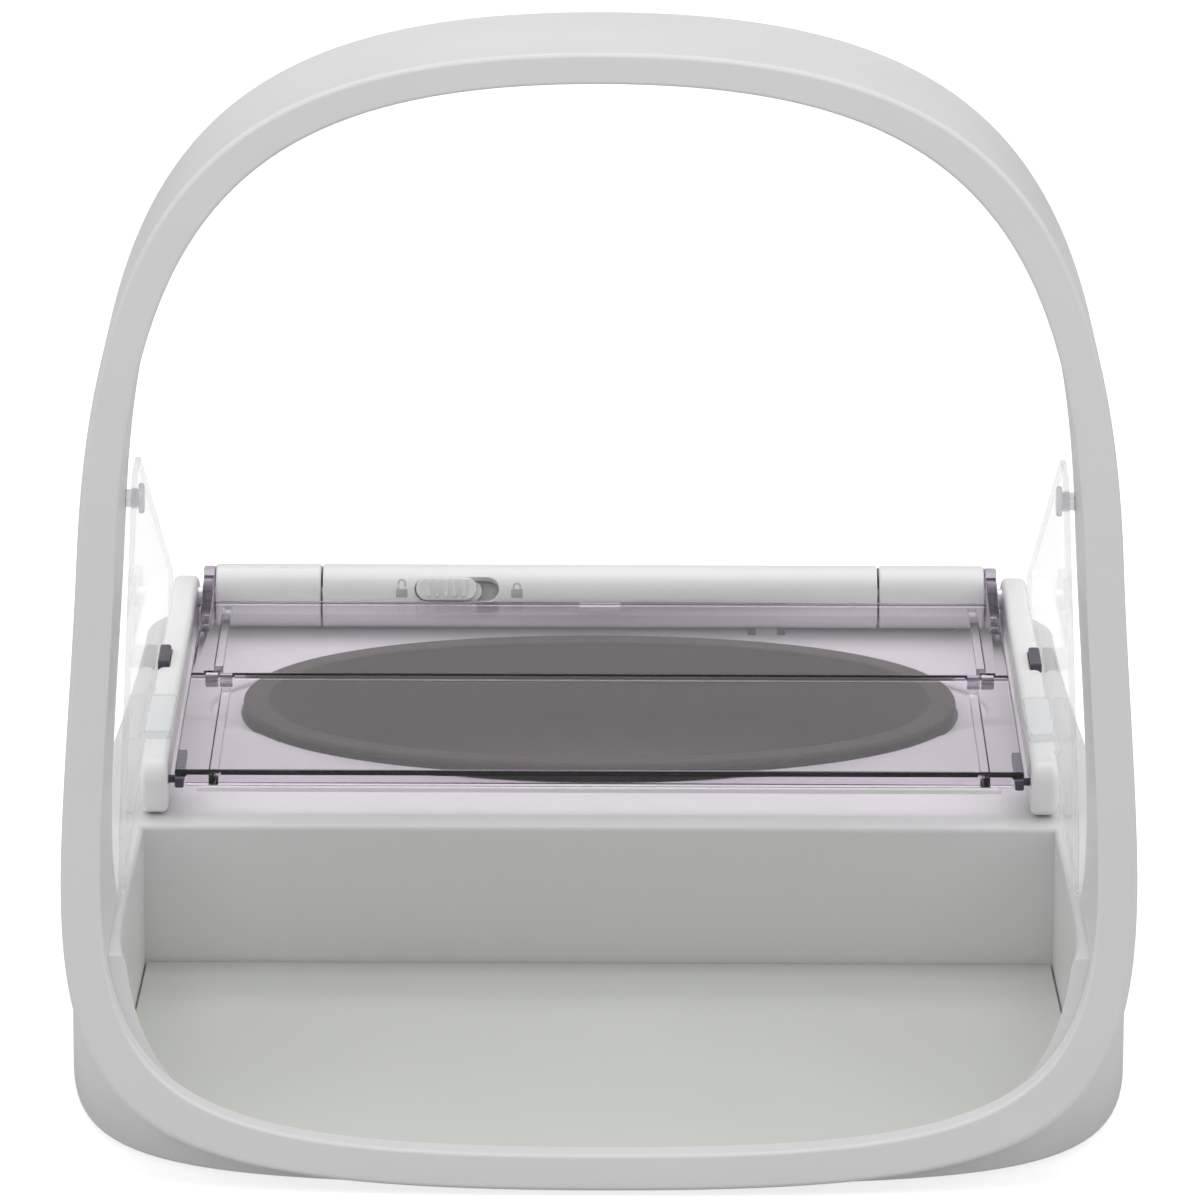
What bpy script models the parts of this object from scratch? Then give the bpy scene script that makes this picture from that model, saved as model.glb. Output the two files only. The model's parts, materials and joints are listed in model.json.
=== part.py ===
# Microchip pet feeder: a hooped tray with a folding lid over a lift-out bowl.
# Metres, +Z up, +X to the feeder's right, the pet eats from -Y. Origin: centre of the footprint, on the table.

import math

import bmesh
import bpy
from mathutils import Matrix, Vector

# Driving sizes of the whole feeder

BASE_WIDTH = 0.230
BASE_DEPTH = 0.318
OVERALL_HEIGHT = 0.200
WALL = 0.0024
CLEARANCE = 0.0003
RUNNING_GAP = 0.0005
OVERRUN = 0.010
MERGE_DISTANCE = 0.00001

# Base

FOOT_STAND = 0.0010
DECK_HEIGHT = 0.0382
BASE_FRONT_SETBACK = 0.0050
REAR_TAPER = 0.012
BASE_REAR_WIDTH = BASE_WIDTH - REAR_TAPER
BASE_REAR_CORNER = 0.026
FRONT_CORNER_SHARE = 0.88
REAR_CORNER_SHARE = 0.58
DECK_LENGTH = 0.182
TRAY_DEPTH = BASE_DEPTH - DECK_LENGTH
CORNER_SETBACK = 0.026
BASE_SIDE_START = TRAY_DEPTH - CORNER_SETBACK
TRAY_FLOOR = 0.0044
TRAY_SIDE_WALL = 0.0134
TRAY_FRONT_WALL = 0.0061
TRAY_FLARE = 0.0010
TRAY_WIDE_SETBACK = 0.038
TRAY_CORNER_SHARE = 0.90
FLOOR_PANEL_THICKNESS = 0.0020
PANEL_LEDGE = 0.0010
MAT_THICKNESS = 0.0018
MAT_FIT = 0.0006
MAT_FRONT_FIT = 0.0018

# Hoop

HOOP_TILT = math.radians(45.4)
HOOP_FACE = 0.0085
HOOP_DEPTH = 0.045
HOOP_FOOT_DEPTH = 0.0052
HOOP_WIDE_HEIGHT = 0.060
HOOP_SHOULDER_HEIGHT = 0.107
HOOP_SHOULDER_TAPER = 0.0018
HOOP_SHOULDER_WIDTH = BASE_WIDTH - HOOP_SHOULDER_TAPER
HOOP_WALL = 0.0019
HOOP_COVER_DEPTH = 0.0030
HOOP_LOWER_SHARE = 0.854
HOOP_SIDE_SHARE = 0.333
HOOP_CROWN_SHARE = 0.735
COIL_DEPTH = 0.0016
COIL_WIDTH = 0.0030

# Lid linkage: the barrel axis, the fold and the guide pin are one link apart and at one height

AXIS_SETBACK = 0.027
AXIS_DEPTH = BASE_DEPTH - AXIS_SETBACK
AXIS_HEIGHT = 0.047
LINK = 0.072
BARREL_RADIUS = 0.0080
SHAFT_RADIUS = 0.0025
SHAFT_FIT = 0.0001
LID_SIDE_MARGIN = 0.0200
LID_WIDTH = BASE_WIDTH - LID_SIDE_MARGIN * 2
SLEEVE_SPAN = 0.0286
CENTRE_BARREL_WIDTH = LID_WIDTH - SLEEVE_SPAN * 2
LID_THICKNESS = 0.0018
LID_OVERHANG = 0.0035
LID_RIM_WIDTH = 0.0022
LID_RIM_DROP = 0.0022
LID_RIM_INSET = 0.0050
FRONT_BAR_DEPTH = 0.0032
FRONT_BAR_DROP = 0.0020
FOLD_GAP = 0.0010
PLATE_BACK_GAP = 0.0020
FOLD_AXIS_DROP = 0.0002
PIN_RADIUS = 0.0008
KNUCKLE_RADIUS = 0.0022
KNUCKLE_WIDTH = 0.0030
KNUCKLE_INSET = 0.0035
ARM_WIDTH = 0.0026
ARM_LENGTH = 0.026
ARM_STEP = 0.0002
KNUCKLE_RELIEF = 0.00045
HUB_RADIUS = 0.0075
SHOE_LENGTH = 0.019
SHOE_WIDTH = 0.0020
SHOE_HEIGHT = 0.0022
GUIDE_PIN_RADIUS = 0.0009
GUIDE_PIN_DROP = 0.0012
SEAL_HEIGHT = 0.0012
LID_OPEN_ANGLE = math.radians(82.0)

# Side pods, shields and their brackets

POD_WIDTH = 0.0061
POD_LID_GAP = 0.0015
POD_HEIGHT = 0.0128
POD_TAIL = 0.009
BRACKET_LENGTH = 0.029
BRACKET_START = 0.012
BRACKET_THICKNESS = 0.0024
POD_NOSE = 0.006
POD_ROUND = 0.0050
SLOT_DEPTH = 0.0036
CLIP_LENGTH = 0.014
CLIP_WIDTH = 0.0026
CLIP_THICKNESS = 0.0014
CLIP_SETBACK = 0.006
SHIELD_THICKNESS = 0.0014
SHIELD_TOP_HEIGHT = 0.1150
SHIELD_TOP_RUN = 0.006
SHIELD_LAP = 0.009
SHIELD_CORNER_ROUND = 0.0030
PEG_REACH = 0.0022
PEG_RADIUS = 0.0020
PEG_HEAD_RADIUS = 0.0034
PEG_HEAD_THICKNESS = 0.0012
PEG_INSET = 0.0052

# Bowl and the well that holds it

BOWL_SIDE_MARGIN = 0.012
BOWL_FRONT_MARGIN = 0.0305
BOWL_LENGTH = LID_WIDTH - BOWL_SIDE_MARGIN * 2
BOWL_BREADTH = 0.112
BOWL_CENTRE_DEPTH = TRAY_DEPTH + BOWL_FRONT_MARGIN + BOWL_BREADTH / 2
BOWL_RIM_HEIGHT = 0.0404
BOWL_RIM_WIDTH = 0.0045
BOWL_RIM_THICKNESS = 0.0016
BOWL_WALL = 0.0018
BOWL_FLOOR = 0.0150
BOWL_SHARE = 0.60
BOWL_DRAFT = 0.012
BOWL_FLOOR_ROUND = 0.010
WELL_FIT = 0.0012
WELL_WALL = 0.0016
FINGER_RADIUS = 0.026
FINGER_REACH = 0.0075

# Rear housing

HOUSING_BACK_HEIGHT = 0.0455
HOUSING_BACK_ROUND = 0.0060
HOUSING_WALL = 0.0014
COVER_GAP = 0.0010
HOLLOW_BACK_INSET = 0.0028
WALL_CUT = 0.0028
HATCH_FRONT_MARGIN = 0.0010
HATCH_MARGIN = 0.0060
SLOT_WIDTH = 0.0202
SLOT_CENTRE = -0.0343
SLOT_UPPER_ANGLE = math.radians(37.0)
SLOT_LOWER_ANGLE = math.radians(81.0)
SLIDER_TRAVEL = 0.0050
SLIDER_PROUD = 0.0007
SLIDER_FLANGE = 0.0012
SLIDER_FLANGE_THICKNESS = 0.0008
SLIDER_MARGIN = 0.0006
RIDGE_COUNT = 5
RIDGE_RADIUS = 0.00055
SLOT_END_SHARE = 0.96
CATCH_WIDTH = 0.0100
CATCH_DEPTH = 0.0022
CATCH_THICKNESS = 0.0014
BUTTON_RADIUS = 0.0046
BUTTON_SPACING = 0.030
BUTTON_PROUD = 0.0010
BUTTON_STEM_RADIUS = 0.0016
BUTTON_STEM_LENGTH = 0.0143
BUTTON_SETBACK = 0.0110
BUTTON_LIP = 0.0010
BUTTON_LIP_THICKNESS = 0.0008
LENS_RADIUS = 0.0018

# Power and drive

CELL_DIAMETER = 0.0262
CELL_STUD_LENGTH = 0.0018
CELL_STUD_RADIUS = 0.0033
CELL_GAP = 0.0004
CELL_WALL_GAP = 0.0012
CONTACT_THICKNESS = 0.0006
CONTACT_SIZE = 0.014
CONTACT_TONGUE_HALF = 0.0035
BAY_SPRING_ROOM = 0.0046
BAY_SIDE_ROOM = 0.0084
BAY_RIB = 0.0016
CENTRE_RIB = 0.0040
BAY_RIB_SETBACK = 0.0060
DOOR_LIP = 0.0016
DOOR_THICKNESS = 0.0012
GEAR_MODULE = 0.0008
DRIVE_TEETH = 14
OUTPUT_TEETH = 24
GEAR_WIDTH = 0.0050
GEAR_CENTRE = 0.040
GEAR_ADDENDUM_SHARE = 0.85
GEAR_DEDENDUM_SHARE = 1.25
TOOTH_TIP_SHARE = 0.30
TOOTH_ROOT_SHARE = 0.62
GEAR_SETBACK = 0.0060
OUTPUT_SHAFT_RADIUS = 0.0015
MOTOR_DIAMETER = 0.0120
MOTOR_SIDE_ROOM = 0.0295
MOTOR_GAP = 0.0010
GEARBOX_LENGTH = 0.012
CRADLE_THICKNESS = 0.0030
CRADLE_END_ROOM = 0.0090
BOARD_LENGTH = 0.078
BOARD_CENTRE = -0.016
BOARD_WIDTH = 0.022
BOARD_THICKNESS = 0.0016
BOARD_BACK_GAP = 0.0009
BOARD_HEIGHT = 0.030
SWITCH_SIZE = 0.0060
SWITCH_HEIGHT = 0.0035
POST_RADIUS = 0.0022
POST_INSET = 0.0033

# Feet and screws

FOOT_RADIUS = 0.0070
FOOT_THICKNESS = 0.0017
FOOT_INSET = 0.017
SCREW_HEAD_RADIUS = 0.0028
SCREW_HEAD_THICKNESS = 0.0008
SCREW_RADIUS = 0.0013
SCREW_LENGTH = 0.007
SCREW_INSET = 0.0145
SCREW_REAR_INSET = 0.0125

# Facets

CURVE_STEPS = 8
HOOP_STEPS = 14
ROUND_STEPS = 24
SMALL_ROUND_STEPS = 12
ARC_STEPS = 8

# Heights and widths that several pieces share

HALF_WIDTH = BASE_WIDTH / 2
HALF_LID = LID_WIDTH / 2
HALF_CENTRE = CENTRE_BARREL_WIDTH / 2
SHELL_BOTTOM = FOOT_STAND
PANEL_TOP = SHELL_BOTTOM + FLOOR_PANEL_THICKNESS
SEAT_TOP = PANEL_TOP + CLEARANCE
DECK_UNDERSIDE = DECK_HEIGHT - WALL
FOLD_DEPTH = AXIS_DEPTH - LINK
CLIP_DEPTH = FOLD_DEPTH + CLIP_SETBACK
GUIDE_DEPTH = FOLD_DEPTH - LINK
LID_FRONT = GUIDE_DEPTH - LID_OVERHANG
POD_INNER = HALF_LID + POD_LID_GAP
POD_OUTER = POD_INNER + POD_WIDTH
POD_TOP = DECK_HEIGHT + POD_HEIGHT
POD_FRONT = GUIDE_DEPTH - POD_NOSE
POD_BACK = AXIS_DEPTH + POD_TAIL
SLEEVE_START = HALF_CENTRE + RUNNING_GAP
ARM_INNER = HALF_LID - ARM_WIDTH
SLEEVE_END = ARM_INNER - CLEARANCE
PLATE_BOTTOM = AXIS_HEIGHT + FOLD_AXIS_DROP
PLATE_TOP = PLATE_BOTTOM + LID_THICKNESS
SHIELD_INNER = POD_OUTER + CLEARANCE
SHIELD_OUTER = SHIELD_INNER + SHIELD_THICKNESS
TILT_RUN = math.tan(HOOP_TILT)
TILT_FACE = math.cos(HOOP_TILT)
CAVITY_FRONT = TRAY_DEPTH + WALL
CAVITY_BACK = BASE_DEPTH - WALL - PANEL_LEDGE
CELL_LENGTH = (HALF_WIDTH - BAY_SIDE_ROOM - CENTRE_RIB / 2 - BAY_SPRING_ROOM) / 2
CELL_BODY_LENGTH = CELL_LENGTH - CELL_STUD_LENGTH
MOTOR_START = GEAR_CENTRE + GEAR_WIDTH / 2 + MOTOR_GAP
MOTOR_LENGTH = HALF_WIDTH - MOTOR_SIDE_ROOM - MOTOR_START - GEARBOX_LENGTH


# Scene set-up and collections


def clear_scene():
    for item in list(bpy.data.objects):
        bpy.data.objects.remove(item, do_unlink=True)


def new_collection(name):
    collection = bpy.data.collections.new(name)
    bpy.context.scene.collection.children.link(collection)
    return collection


clear_scene()
FEEDER = new_collection("pet_feeder")
CUTTERS = new_collection("cutters")


# Materials


def finish(name, colour, roughness, metallic=0.0, alpha=1.0):
    material = bpy.data.materials.new(name)
    material.use_nodes = True
    shader = material.node_tree.nodes["Principled BSDF"]
    shader.inputs["Base Color"].default_value = (*colour, 1.0)
    shader.inputs["Roughness"].default_value = roughness
    shader.inputs["Metallic"].default_value = metallic
    shader.inputs["Alpha"].default_value = alpha
    material.diffuse_color = (*colour, alpha)
    return material


WHITE_SHELL = finish("white_shell", (0.80, 0.80, 0.81), 0.38)
WHITE_TRIM = finish("white_trim", (0.86, 0.86, 0.86), 0.34)
CLEAR_LID = finish("clear_lid", (0.80, 0.78, 0.83), 0.08, alpha=0.45)
CLEAR_SHIELD = finish("clear_shield", (0.90, 0.92, 0.94), 0.10, alpha=0.35)
PALE_MAT = finish("pale_mat", (0.62, 0.64, 0.60), 0.62)
GREY_BOWL = finish("grey_bowl", (0.18, 0.165, 0.155), 0.42)
DARK_RUBBER = finish("dark_rubber", (0.05, 0.05, 0.055), 0.75)
DARK_PEG = finish("dark_peg", (0.10, 0.09, 0.11), 0.45)
STEEL = finish("steel", (0.62, 0.63, 0.65), 0.30, metallic=1.0)
BRASS = finish("brass_plate", (0.72, 0.60, 0.34), 0.35, metallic=1.0)
COPPER = finish("copper_wire", (0.72, 0.38, 0.22), 0.38, metallic=1.0)
BOARD_GREEN = finish("board_green", (0.05, 0.24, 0.12), 0.50)
GEAR_NYLON = finish("gear_nylon", (0.78, 0.76, 0.68), 0.50)
MOTOR_CASE = finish("motor_case", (0.30, 0.31, 0.33), 0.42, metallic=0.8)
CELL_JACKET = finish("cell_jacket", (0.22, 0.24, 0.27), 0.40)
STATUS_LENS = finish("status_lens", (0.75, 0.80, 0.85), 0.20, alpha=0.70)


# Modelling helpers


def keep(body, name, material=None):
    body.name = name
    body.data.name = name
    if material is None:
        CUTTERS.objects.link(body)
        body.hide_render = True
        body.display_type = 'WIRE'
        return body
    FEEDER.objects.link(body)
    body.data.materials.clear()
    body.data.materials.append(material)
    body.data.shade_smooth()
    body.data.set_sharp_from_angle(angle=math.radians(32.0))
    return body


def from_bmesh(mesh_data, name, material=None):
    mesh = bpy.data.meshes.new(name)
    mesh_data.to_mesh(mesh)
    mesh_data.free()
    return keep(bpy.data.objects.new(name, mesh), name, material)


def box(name, low, high, material=None):
    low, high = Vector(low), Vector(high)
    size = high - low
    shape = bmesh.new()
    place = Matrix.Translation((low + high) / 2) @ Matrix.Diagonal((*size, 1.0))
    bmesh.ops.create_cube(shape, size=1.0, matrix=place)
    return from_bmesh(shape, name, material)


def add_rod(shape, start, end, radius, end_radius=None, steps=ROUND_STEPS):
    start, end = Vector(start), Vector(end)
    run = end - start
    turn = run.to_track_quat('Z', 'Y').to_matrix().to_4x4()
    place = Matrix.Translation((start + end) / 2) @ turn
    far_radius = radius if end_radius is None else end_radius
    bmesh.ops.create_cone(shape, cap_ends=True, segments=steps, radius1=radius, radius2=far_radius,
                          depth=run.length, matrix=place)


def rod(name, start, end, radius, material=None, end_radius=None, steps=ROUND_STEPS):
    shape = bmesh.new()
    add_rod(shape, start, end, radius, end_radius, steps)
    return from_bmesh(shape, name, material)


PLANES = {
    'XY': Matrix(((1, 0, 0), (0, 1, 0), (0, 0, 1))).to_4x4(),
    'XZ': Matrix(((1, 0, 0), (0, 0, -1), (0, 1, 0))).to_4x4(),
    'YZ': Matrix(((0, 0, 1), (1, 0, 0), (0, 1, 0))).to_4x4(),
}


def solid_from_curve(curve, name, plane, low, high, material):
    # A filled 2D curve, extruded from low to high along the plane's normal and turned into a welded mesh
    curve.dimensions = '2D'
    curve.fill_mode = 'BOTH'
    curve.extrude = (high - low) / 2
    source = bpy.data.objects.new(name + "_outline", curve)
    CUTTERS.objects.link(source)
    middle = (high + low) / 2
    along = -middle if plane == 'XZ' else middle
    source.matrix_world = PLANES[plane] @ Matrix.Translation((0, 0, along))
    bpy.context.view_layer.update()
    graph = bpy.context.evaluated_depsgraph_get()
    mesh = bpy.data.meshes.new_from_object(source.evaluated_get(graph))
    mesh.transform(source.matrix_world)
    bpy.data.objects.remove(source, do_unlink=True)
    shape = bmesh.new()
    shape.from_mesh(mesh)
    bmesh.ops.remove_doubles(shape, verts=shape.verts, dist=MERGE_DISTANCE)
    bmesh.ops.recalc_face_normals(shape, faces=shape.faces)
    bpy.data.meshes.remove(mesh)
    return from_bmesh(shape, name, material)


def add_smooth_loop(curve, knots, steps):
    # knots: (x, y, 'H' or 'V' tangent, handle share of the run to the next knot), in order round the loop
    spline = curve.splines.new('BEZIER')
    spline.bezier_points.add(len(knots) - 1)
    spline.use_cyclic_u = True
    spline.resolution_u = steps
    for point in spline.bezier_points:
        point.handle_left_type = 'FREE'
        point.handle_right_type = 'FREE'
    for index, knot in enumerate(knots):
        following = (index + 1) % len(knots)
        target = knots[following]
        run = (target[0] - knot[0], target[1] - knot[1])
        share = knot[3]
        leave = (run[0] * share, 0) if knot[2] == 'H' else (0, run[1] * share)
        reach = (run[0] * share, 0) if target[2] == 'H' else (0, run[1] * share)
        point = spline.bezier_points[index]
        point.co = (knot[0], knot[1], 0)
        point.handle_right = (knot[0] + leave[0], knot[1] + leave[1], 0)
        spline.bezier_points[following].handle_left = (target[0] - reach[0], target[1] - reach[1], 0)


def smooth_solid(name, loops, plane, low, high, material=None, steps=CURVE_STEPS):
    curve = bpy.data.curves.new(name, 'CURVE')
    for knots in loops:
        add_smooth_loop(curve, knots, steps)
    return solid_from_curve(curve, name, plane, low, high, material)


def outline_solid(name, points, plane, low, high, material=None):
    curve = bpy.data.curves.new(name, 'CURVE')
    spline = curve.splines.new('POLY')
    spline.points.add(len(points) - 1)
    spline.use_cyclic_u = True
    for target, place in zip(spline.points, points):
        target.co = (place[0], place[1], 0, 1)
    return solid_from_curve(curve, name, plane, low, high, material)


def boolean(target, tool, operation):
    modifier = target.modifiers.new(operation.lower() + "_" + tool.name, 'BOOLEAN')
    modifier.operation = operation
    modifier.object = tool
    modifier.solver = 'EXACT'
    return target


def cut(target, *tools):
    for tool in tools:
        boolean(target, tool, 'DIFFERENCE')
    return target


def join(target, *tools):
    for tool in tools:
        boolean(target, tool, 'UNION')
    return target


def arc(centre, radius, start, end, steps=ARC_STEPS):
    # Points from start to end, angles measured from the first axis towards the second
    angles = [start + (end - start) * step / steps for step in range(steps + 1)]
    return [(centre[0] + radius * math.cos(a), centre[1] + radius * math.sin(a)) for a in angles]


def rounded_box_points(low, high, radius):
    corners = (((high[0] - radius, high[1] - radius), 0), ((low[0] + radius, high[1] - radius), 1),
               ((low[0] + radius, low[1] + radius), 2), ((high[0] - radius, low[1] + radius), 3))
    points = []
    for centre, quarter in corners:
        start = quarter * math.pi / 2
        points += arc(centre, radius, start, start + math.pi / 2, ARC_STEPS // 2)
    return points


def moved_origin(body, place):
    # Puts the object's origin on its joint's axis without moving its mesh
    body.data.transform(Matrix.Translation(-Vector(place)))
    body.location = place
    return body


SIDES = (("left", -1), ("right", 1))


def span(side, inner, outer):
    # The two x values of a piece that lies between inner and outer from the middle, in rising order
    return sorted((side * inner, side * outer))


# Outlines that several pieces share


def mirrored_knots(right_half):
    # right_half runs from the middle of the front to the middle of the back; the left half repeats it in -X
    left = []
    for index in range(len(right_half) - 2, 0, -1):
        knot = right_half[index]
        left.append((-knot[0], knot[1], knot[2], right_half[index - 1][3]))
    last = right_half[-1]
    closing = (last[0], last[1], last[2], right_half[-2][3])
    return list(right_half[:-1]) + [closing] + left


def hoop_knots(inset):
    # The hoop seen from the front; an inset in its leaning face is shorter in height by the cosine of the tilt
    rise = inset * TILT_FACE
    half = HALF_WIDTH - inset
    shoulder = HOOP_SHOULDER_WIDTH / 2 - inset
    return mirrored_knots([
        (0, FOOT_STAND + rise, 'H', HOOP_LOWER_SHARE),
        (half, HOOP_WIDE_HEIGHT, 'V', HOOP_SIDE_SHARE),
        (shoulder, HOOP_SHOULDER_HEIGHT, 'V', HOOP_CROWN_SHARE),
        (0, OVERALL_HEIGHT - rise, 'H', HOOP_CROWN_SHARE),
    ])


def footprint_knots(side_inset, front_inset, rear_inset):
    rear_half = BASE_REAR_WIDTH / 2
    return mirrored_knots([
        (0, BASE_FRONT_SETBACK + front_inset, 'H', FRONT_CORNER_SHARE),
        (HALF_WIDTH - side_inset, BASE_SIDE_START, 'V', HOOP_SIDE_SHARE),
        (rear_half - side_inset, BASE_DEPTH - BASE_REAR_CORNER, 'V', REAR_CORNER_SHARE),
        (rear_half - BASE_REAR_CORNER, BASE_DEPTH - rear_inset, 'H', REAR_CORNER_SHARE),
        (0, BASE_DEPTH - rear_inset, 'H', REAR_CORNER_SHARE),
    ])


def tray_knots(side_fit, front_fit):
    # The tray's pocket; its front corners follow the hoop's inner edge as seen from above
    back = TRAY_DEPTH + OVERRUN
    half = HALF_WIDTH - TRAY_SIDE_WALL - side_fit
    return mirrored_knots([
        (0, BASE_FRONT_SETBACK + TRAY_FRONT_WALL + front_fit, 'H', TRAY_CORNER_SHARE),
        (half + TRAY_FLARE, BASE_SIDE_START - TRAY_WIDE_SETBACK, 'V', HOOP_SIDE_SHARE),
        (half, back, 'V', HOOP_SIDE_SHARE),
        (0, back + OVERRUN, 'H', HOOP_SIDE_SHARE),
    ])


def oval_knots(half_length, half_breadth, depth):
    return [
        (0, depth - half_breadth, 'H', BOWL_SHARE),
        (half_length, depth, 'V', BOWL_SHARE),
        (0, depth + half_breadth, 'H', BOWL_SHARE),
        (-half_length, depth, 'V', BOWL_SHARE),
    ]


def tilted_block(name, behind, low_height, high_height, ahead):
    # A wide block whose one face leans as the hoop does, that distance behind the hoop's front plane
    near_low = low_height * TILT_RUN + behind
    near_high = high_height * TILT_RUN + behind
    far = BASE_DEPTH + BASE_DEPTH if not ahead else -BASE_DEPTH
    points = [(near_low, low_height), (far, low_height), (far, high_height), (near_high, high_height)]
    if ahead:
        points.reverse()
    return outline_solid(name, points, 'YZ', -BASE_WIDTH, BASE_WIDTH)


# The hoop: an open-backed channel, the coil in it and the strip that closes it


def build_hoop():
    top = OVERALL_HEIGHT + OVERRUN
    bottom = -OVERRUN
    shell = smooth_solid("hoop_shell", [hoop_knots(0), hoop_knots(HOOP_FACE)], 'XZ', -OVERRUN,
                         BASE_DEPTH, WHITE_SHELL, HOOP_STEPS)
    channel = smooth_solid("hoop_channel_cutter", [hoop_knots(HOOP_WALL), hoop_knots(HOOP_FACE - HOOP_WALL)],
                           'XZ', -OVERRUN * 2, BASE_DEPTH + OVERRUN, steps=HOOP_STEPS)
    cut(channel, tilted_block("channel_front_cutter", HOOP_WALL / TILT_FACE, bottom * 2, top + OVERRUN, True))
    front = tilted_block("hoop_front_cutter", 0, bottom, top, True)
    back = tilted_block("hoop_back_cutter", HOOP_DEPTH, bottom, top, False)
    foot_top = DECK_HEIGHT + CLEARANCE
    foot = tilted_block("hoop_foot_cutter", HOOP_FOOT_DEPTH, bottom, foot_top, False)
    cut(shell, front, back, foot, channel)

    coil = smooth_solid("antenna_coil", [hoop_knots((HOOP_FACE - COIL_WIDTH) / 2),
                                         hoop_knots((HOOP_FACE + COIL_WIDTH) / 2)],
                        'XZ', -OVERRUN, BASE_DEPTH, COPPER)
    coil_front = HOOP_WALL / TILT_FACE + CLEARANCE
    cut(coil, tilted_block("coil_front_cutter", coil_front, bottom, top, True))
    cut(coil, tilted_block("coil_back_cutter", coil_front + COIL_DEPTH, bottom, top, False))

    slot = HOOP_WALL + CLEARANCE
    cover = smooth_solid("hoop_rear_cover", [hoop_knots(slot), hoop_knots(HOOP_FACE - slot)],
                         'XZ', -OVERRUN, BASE_DEPTH, WHITE_SHELL, HOOP_STEPS)
    cut(cover, tilted_block("cover_front_cutter", HOOP_DEPTH - HOOP_COVER_DEPTH, bottom, top, True))
    cut(cover, tilted_block("cover_back_cutter", HOOP_DEPTH, bottom, top, False))
    under_deck = box("cover_foot_cutter", (-BASE_WIDTH, -BASE_DEPTH, bottom),
                     (BASE_WIDTH, BASE_DEPTH * 2, foot_top))
    cut(cover, under_deck)
    return shell


# The base: one moulding with tray, deck, bowl well and an open underside


def bowl_half(extra):
    return BOWL_LENGTH / 2 + extra, BOWL_BREADTH / 2 + extra


def oval_loft(name, low, high, material=None):
    # A tapered oval body between two ovals, each (half length, half breadth, height)
    shape = bmesh.new()
    rings = []
    steps = CURVE_STEPS * 4
    for half_length, half_breadth, height in (low, high):
        ring = []
        for step in range(steps):
            x_value, y_value = oval_point(half_length, half_breadth, step / steps)
            ring.append(shape.verts.new((x_value, y_value + BOWL_CENTRE_DEPTH, height)))
        rings.append(ring)
    for step in range(steps):
        following = (step + 1) % steps
        shape.faces.new((rings[0][step], rings[0][following], rings[1][following], rings[1][step]))
    shape.faces.new(list(reversed(rings[0])))
    shape.faces.new(rings[1])
    return from_bmesh(shape, name, material)


def carried_on(low, high):
    # The oval that the taper from low to high reaches at one overrun above high
    further = OVERRUN / (high[2] - low[2])
    return tuple(end + (end - start) * further for start, end in zip(low, high))


def oval_point(half_length, half_breadth, turn):
    # One point of the bowl's oval: a quarter Bezier whose handles reach BOWL_SHARE of each half axis
    quarter = int(turn * 4) % 4
    t = turn * 4 - int(turn * 4)
    inverse = 1 - t
    along = inverse ** 3 + 3 * inverse ** 2 * t + 3 * inverse * t ** 2 * BOWL_SHARE
    across = 3 * inverse ** 2 * t * BOWL_SHARE + 3 * inverse * t ** 2 + t ** 3
    if quarter == 0:
        return half_length * along, half_breadth * across
    if quarter == 1:
        return -half_length * across, half_breadth * along
    if quarter == 2:
        return -half_length * along, -half_breadth * across
    return half_length * across, -half_breadth * along


def well_sizes(extra):
    # Half length and half breadth of the well at its top and its floor
    top = bowl_half(WELL_FIT + extra)
    low = bowl_half(WELL_FIT + extra - BOWL_DRAFT)
    return top, low


WELL_FLOOR = BOWL_FLOOR - CLEARANCE
BAY_BACK = CAVITY_FRONT + CELL_WALL_GAP * 2 + CELL_DIAMETER
CELL_ROW_DEPTH = CAVITY_FRONT + CELL_WALL_GAP + CELL_DIAMETER / 2
CELL_ROW_HEIGHT = PANEL_TOP + CLEARANCE + CELL_DIAMETER / 2
BAY_LENGTH = CELL_LENGTH * 2 + BAY_SPRING_ROOM
BAY_INNER = CENTRE_RIB / 2
BAY_OUTER = BAY_INNER + BAY_LENGTH
HATCH_FRONT = AXIS_DEPTH - BARREL_RADIUS + HATCH_FRONT_MARGIN
HATCH_BACK = BASE_DEPTH - HATCH_MARGIN
HATCH_HALF = POD_INNER - HATCH_MARGIN


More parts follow.
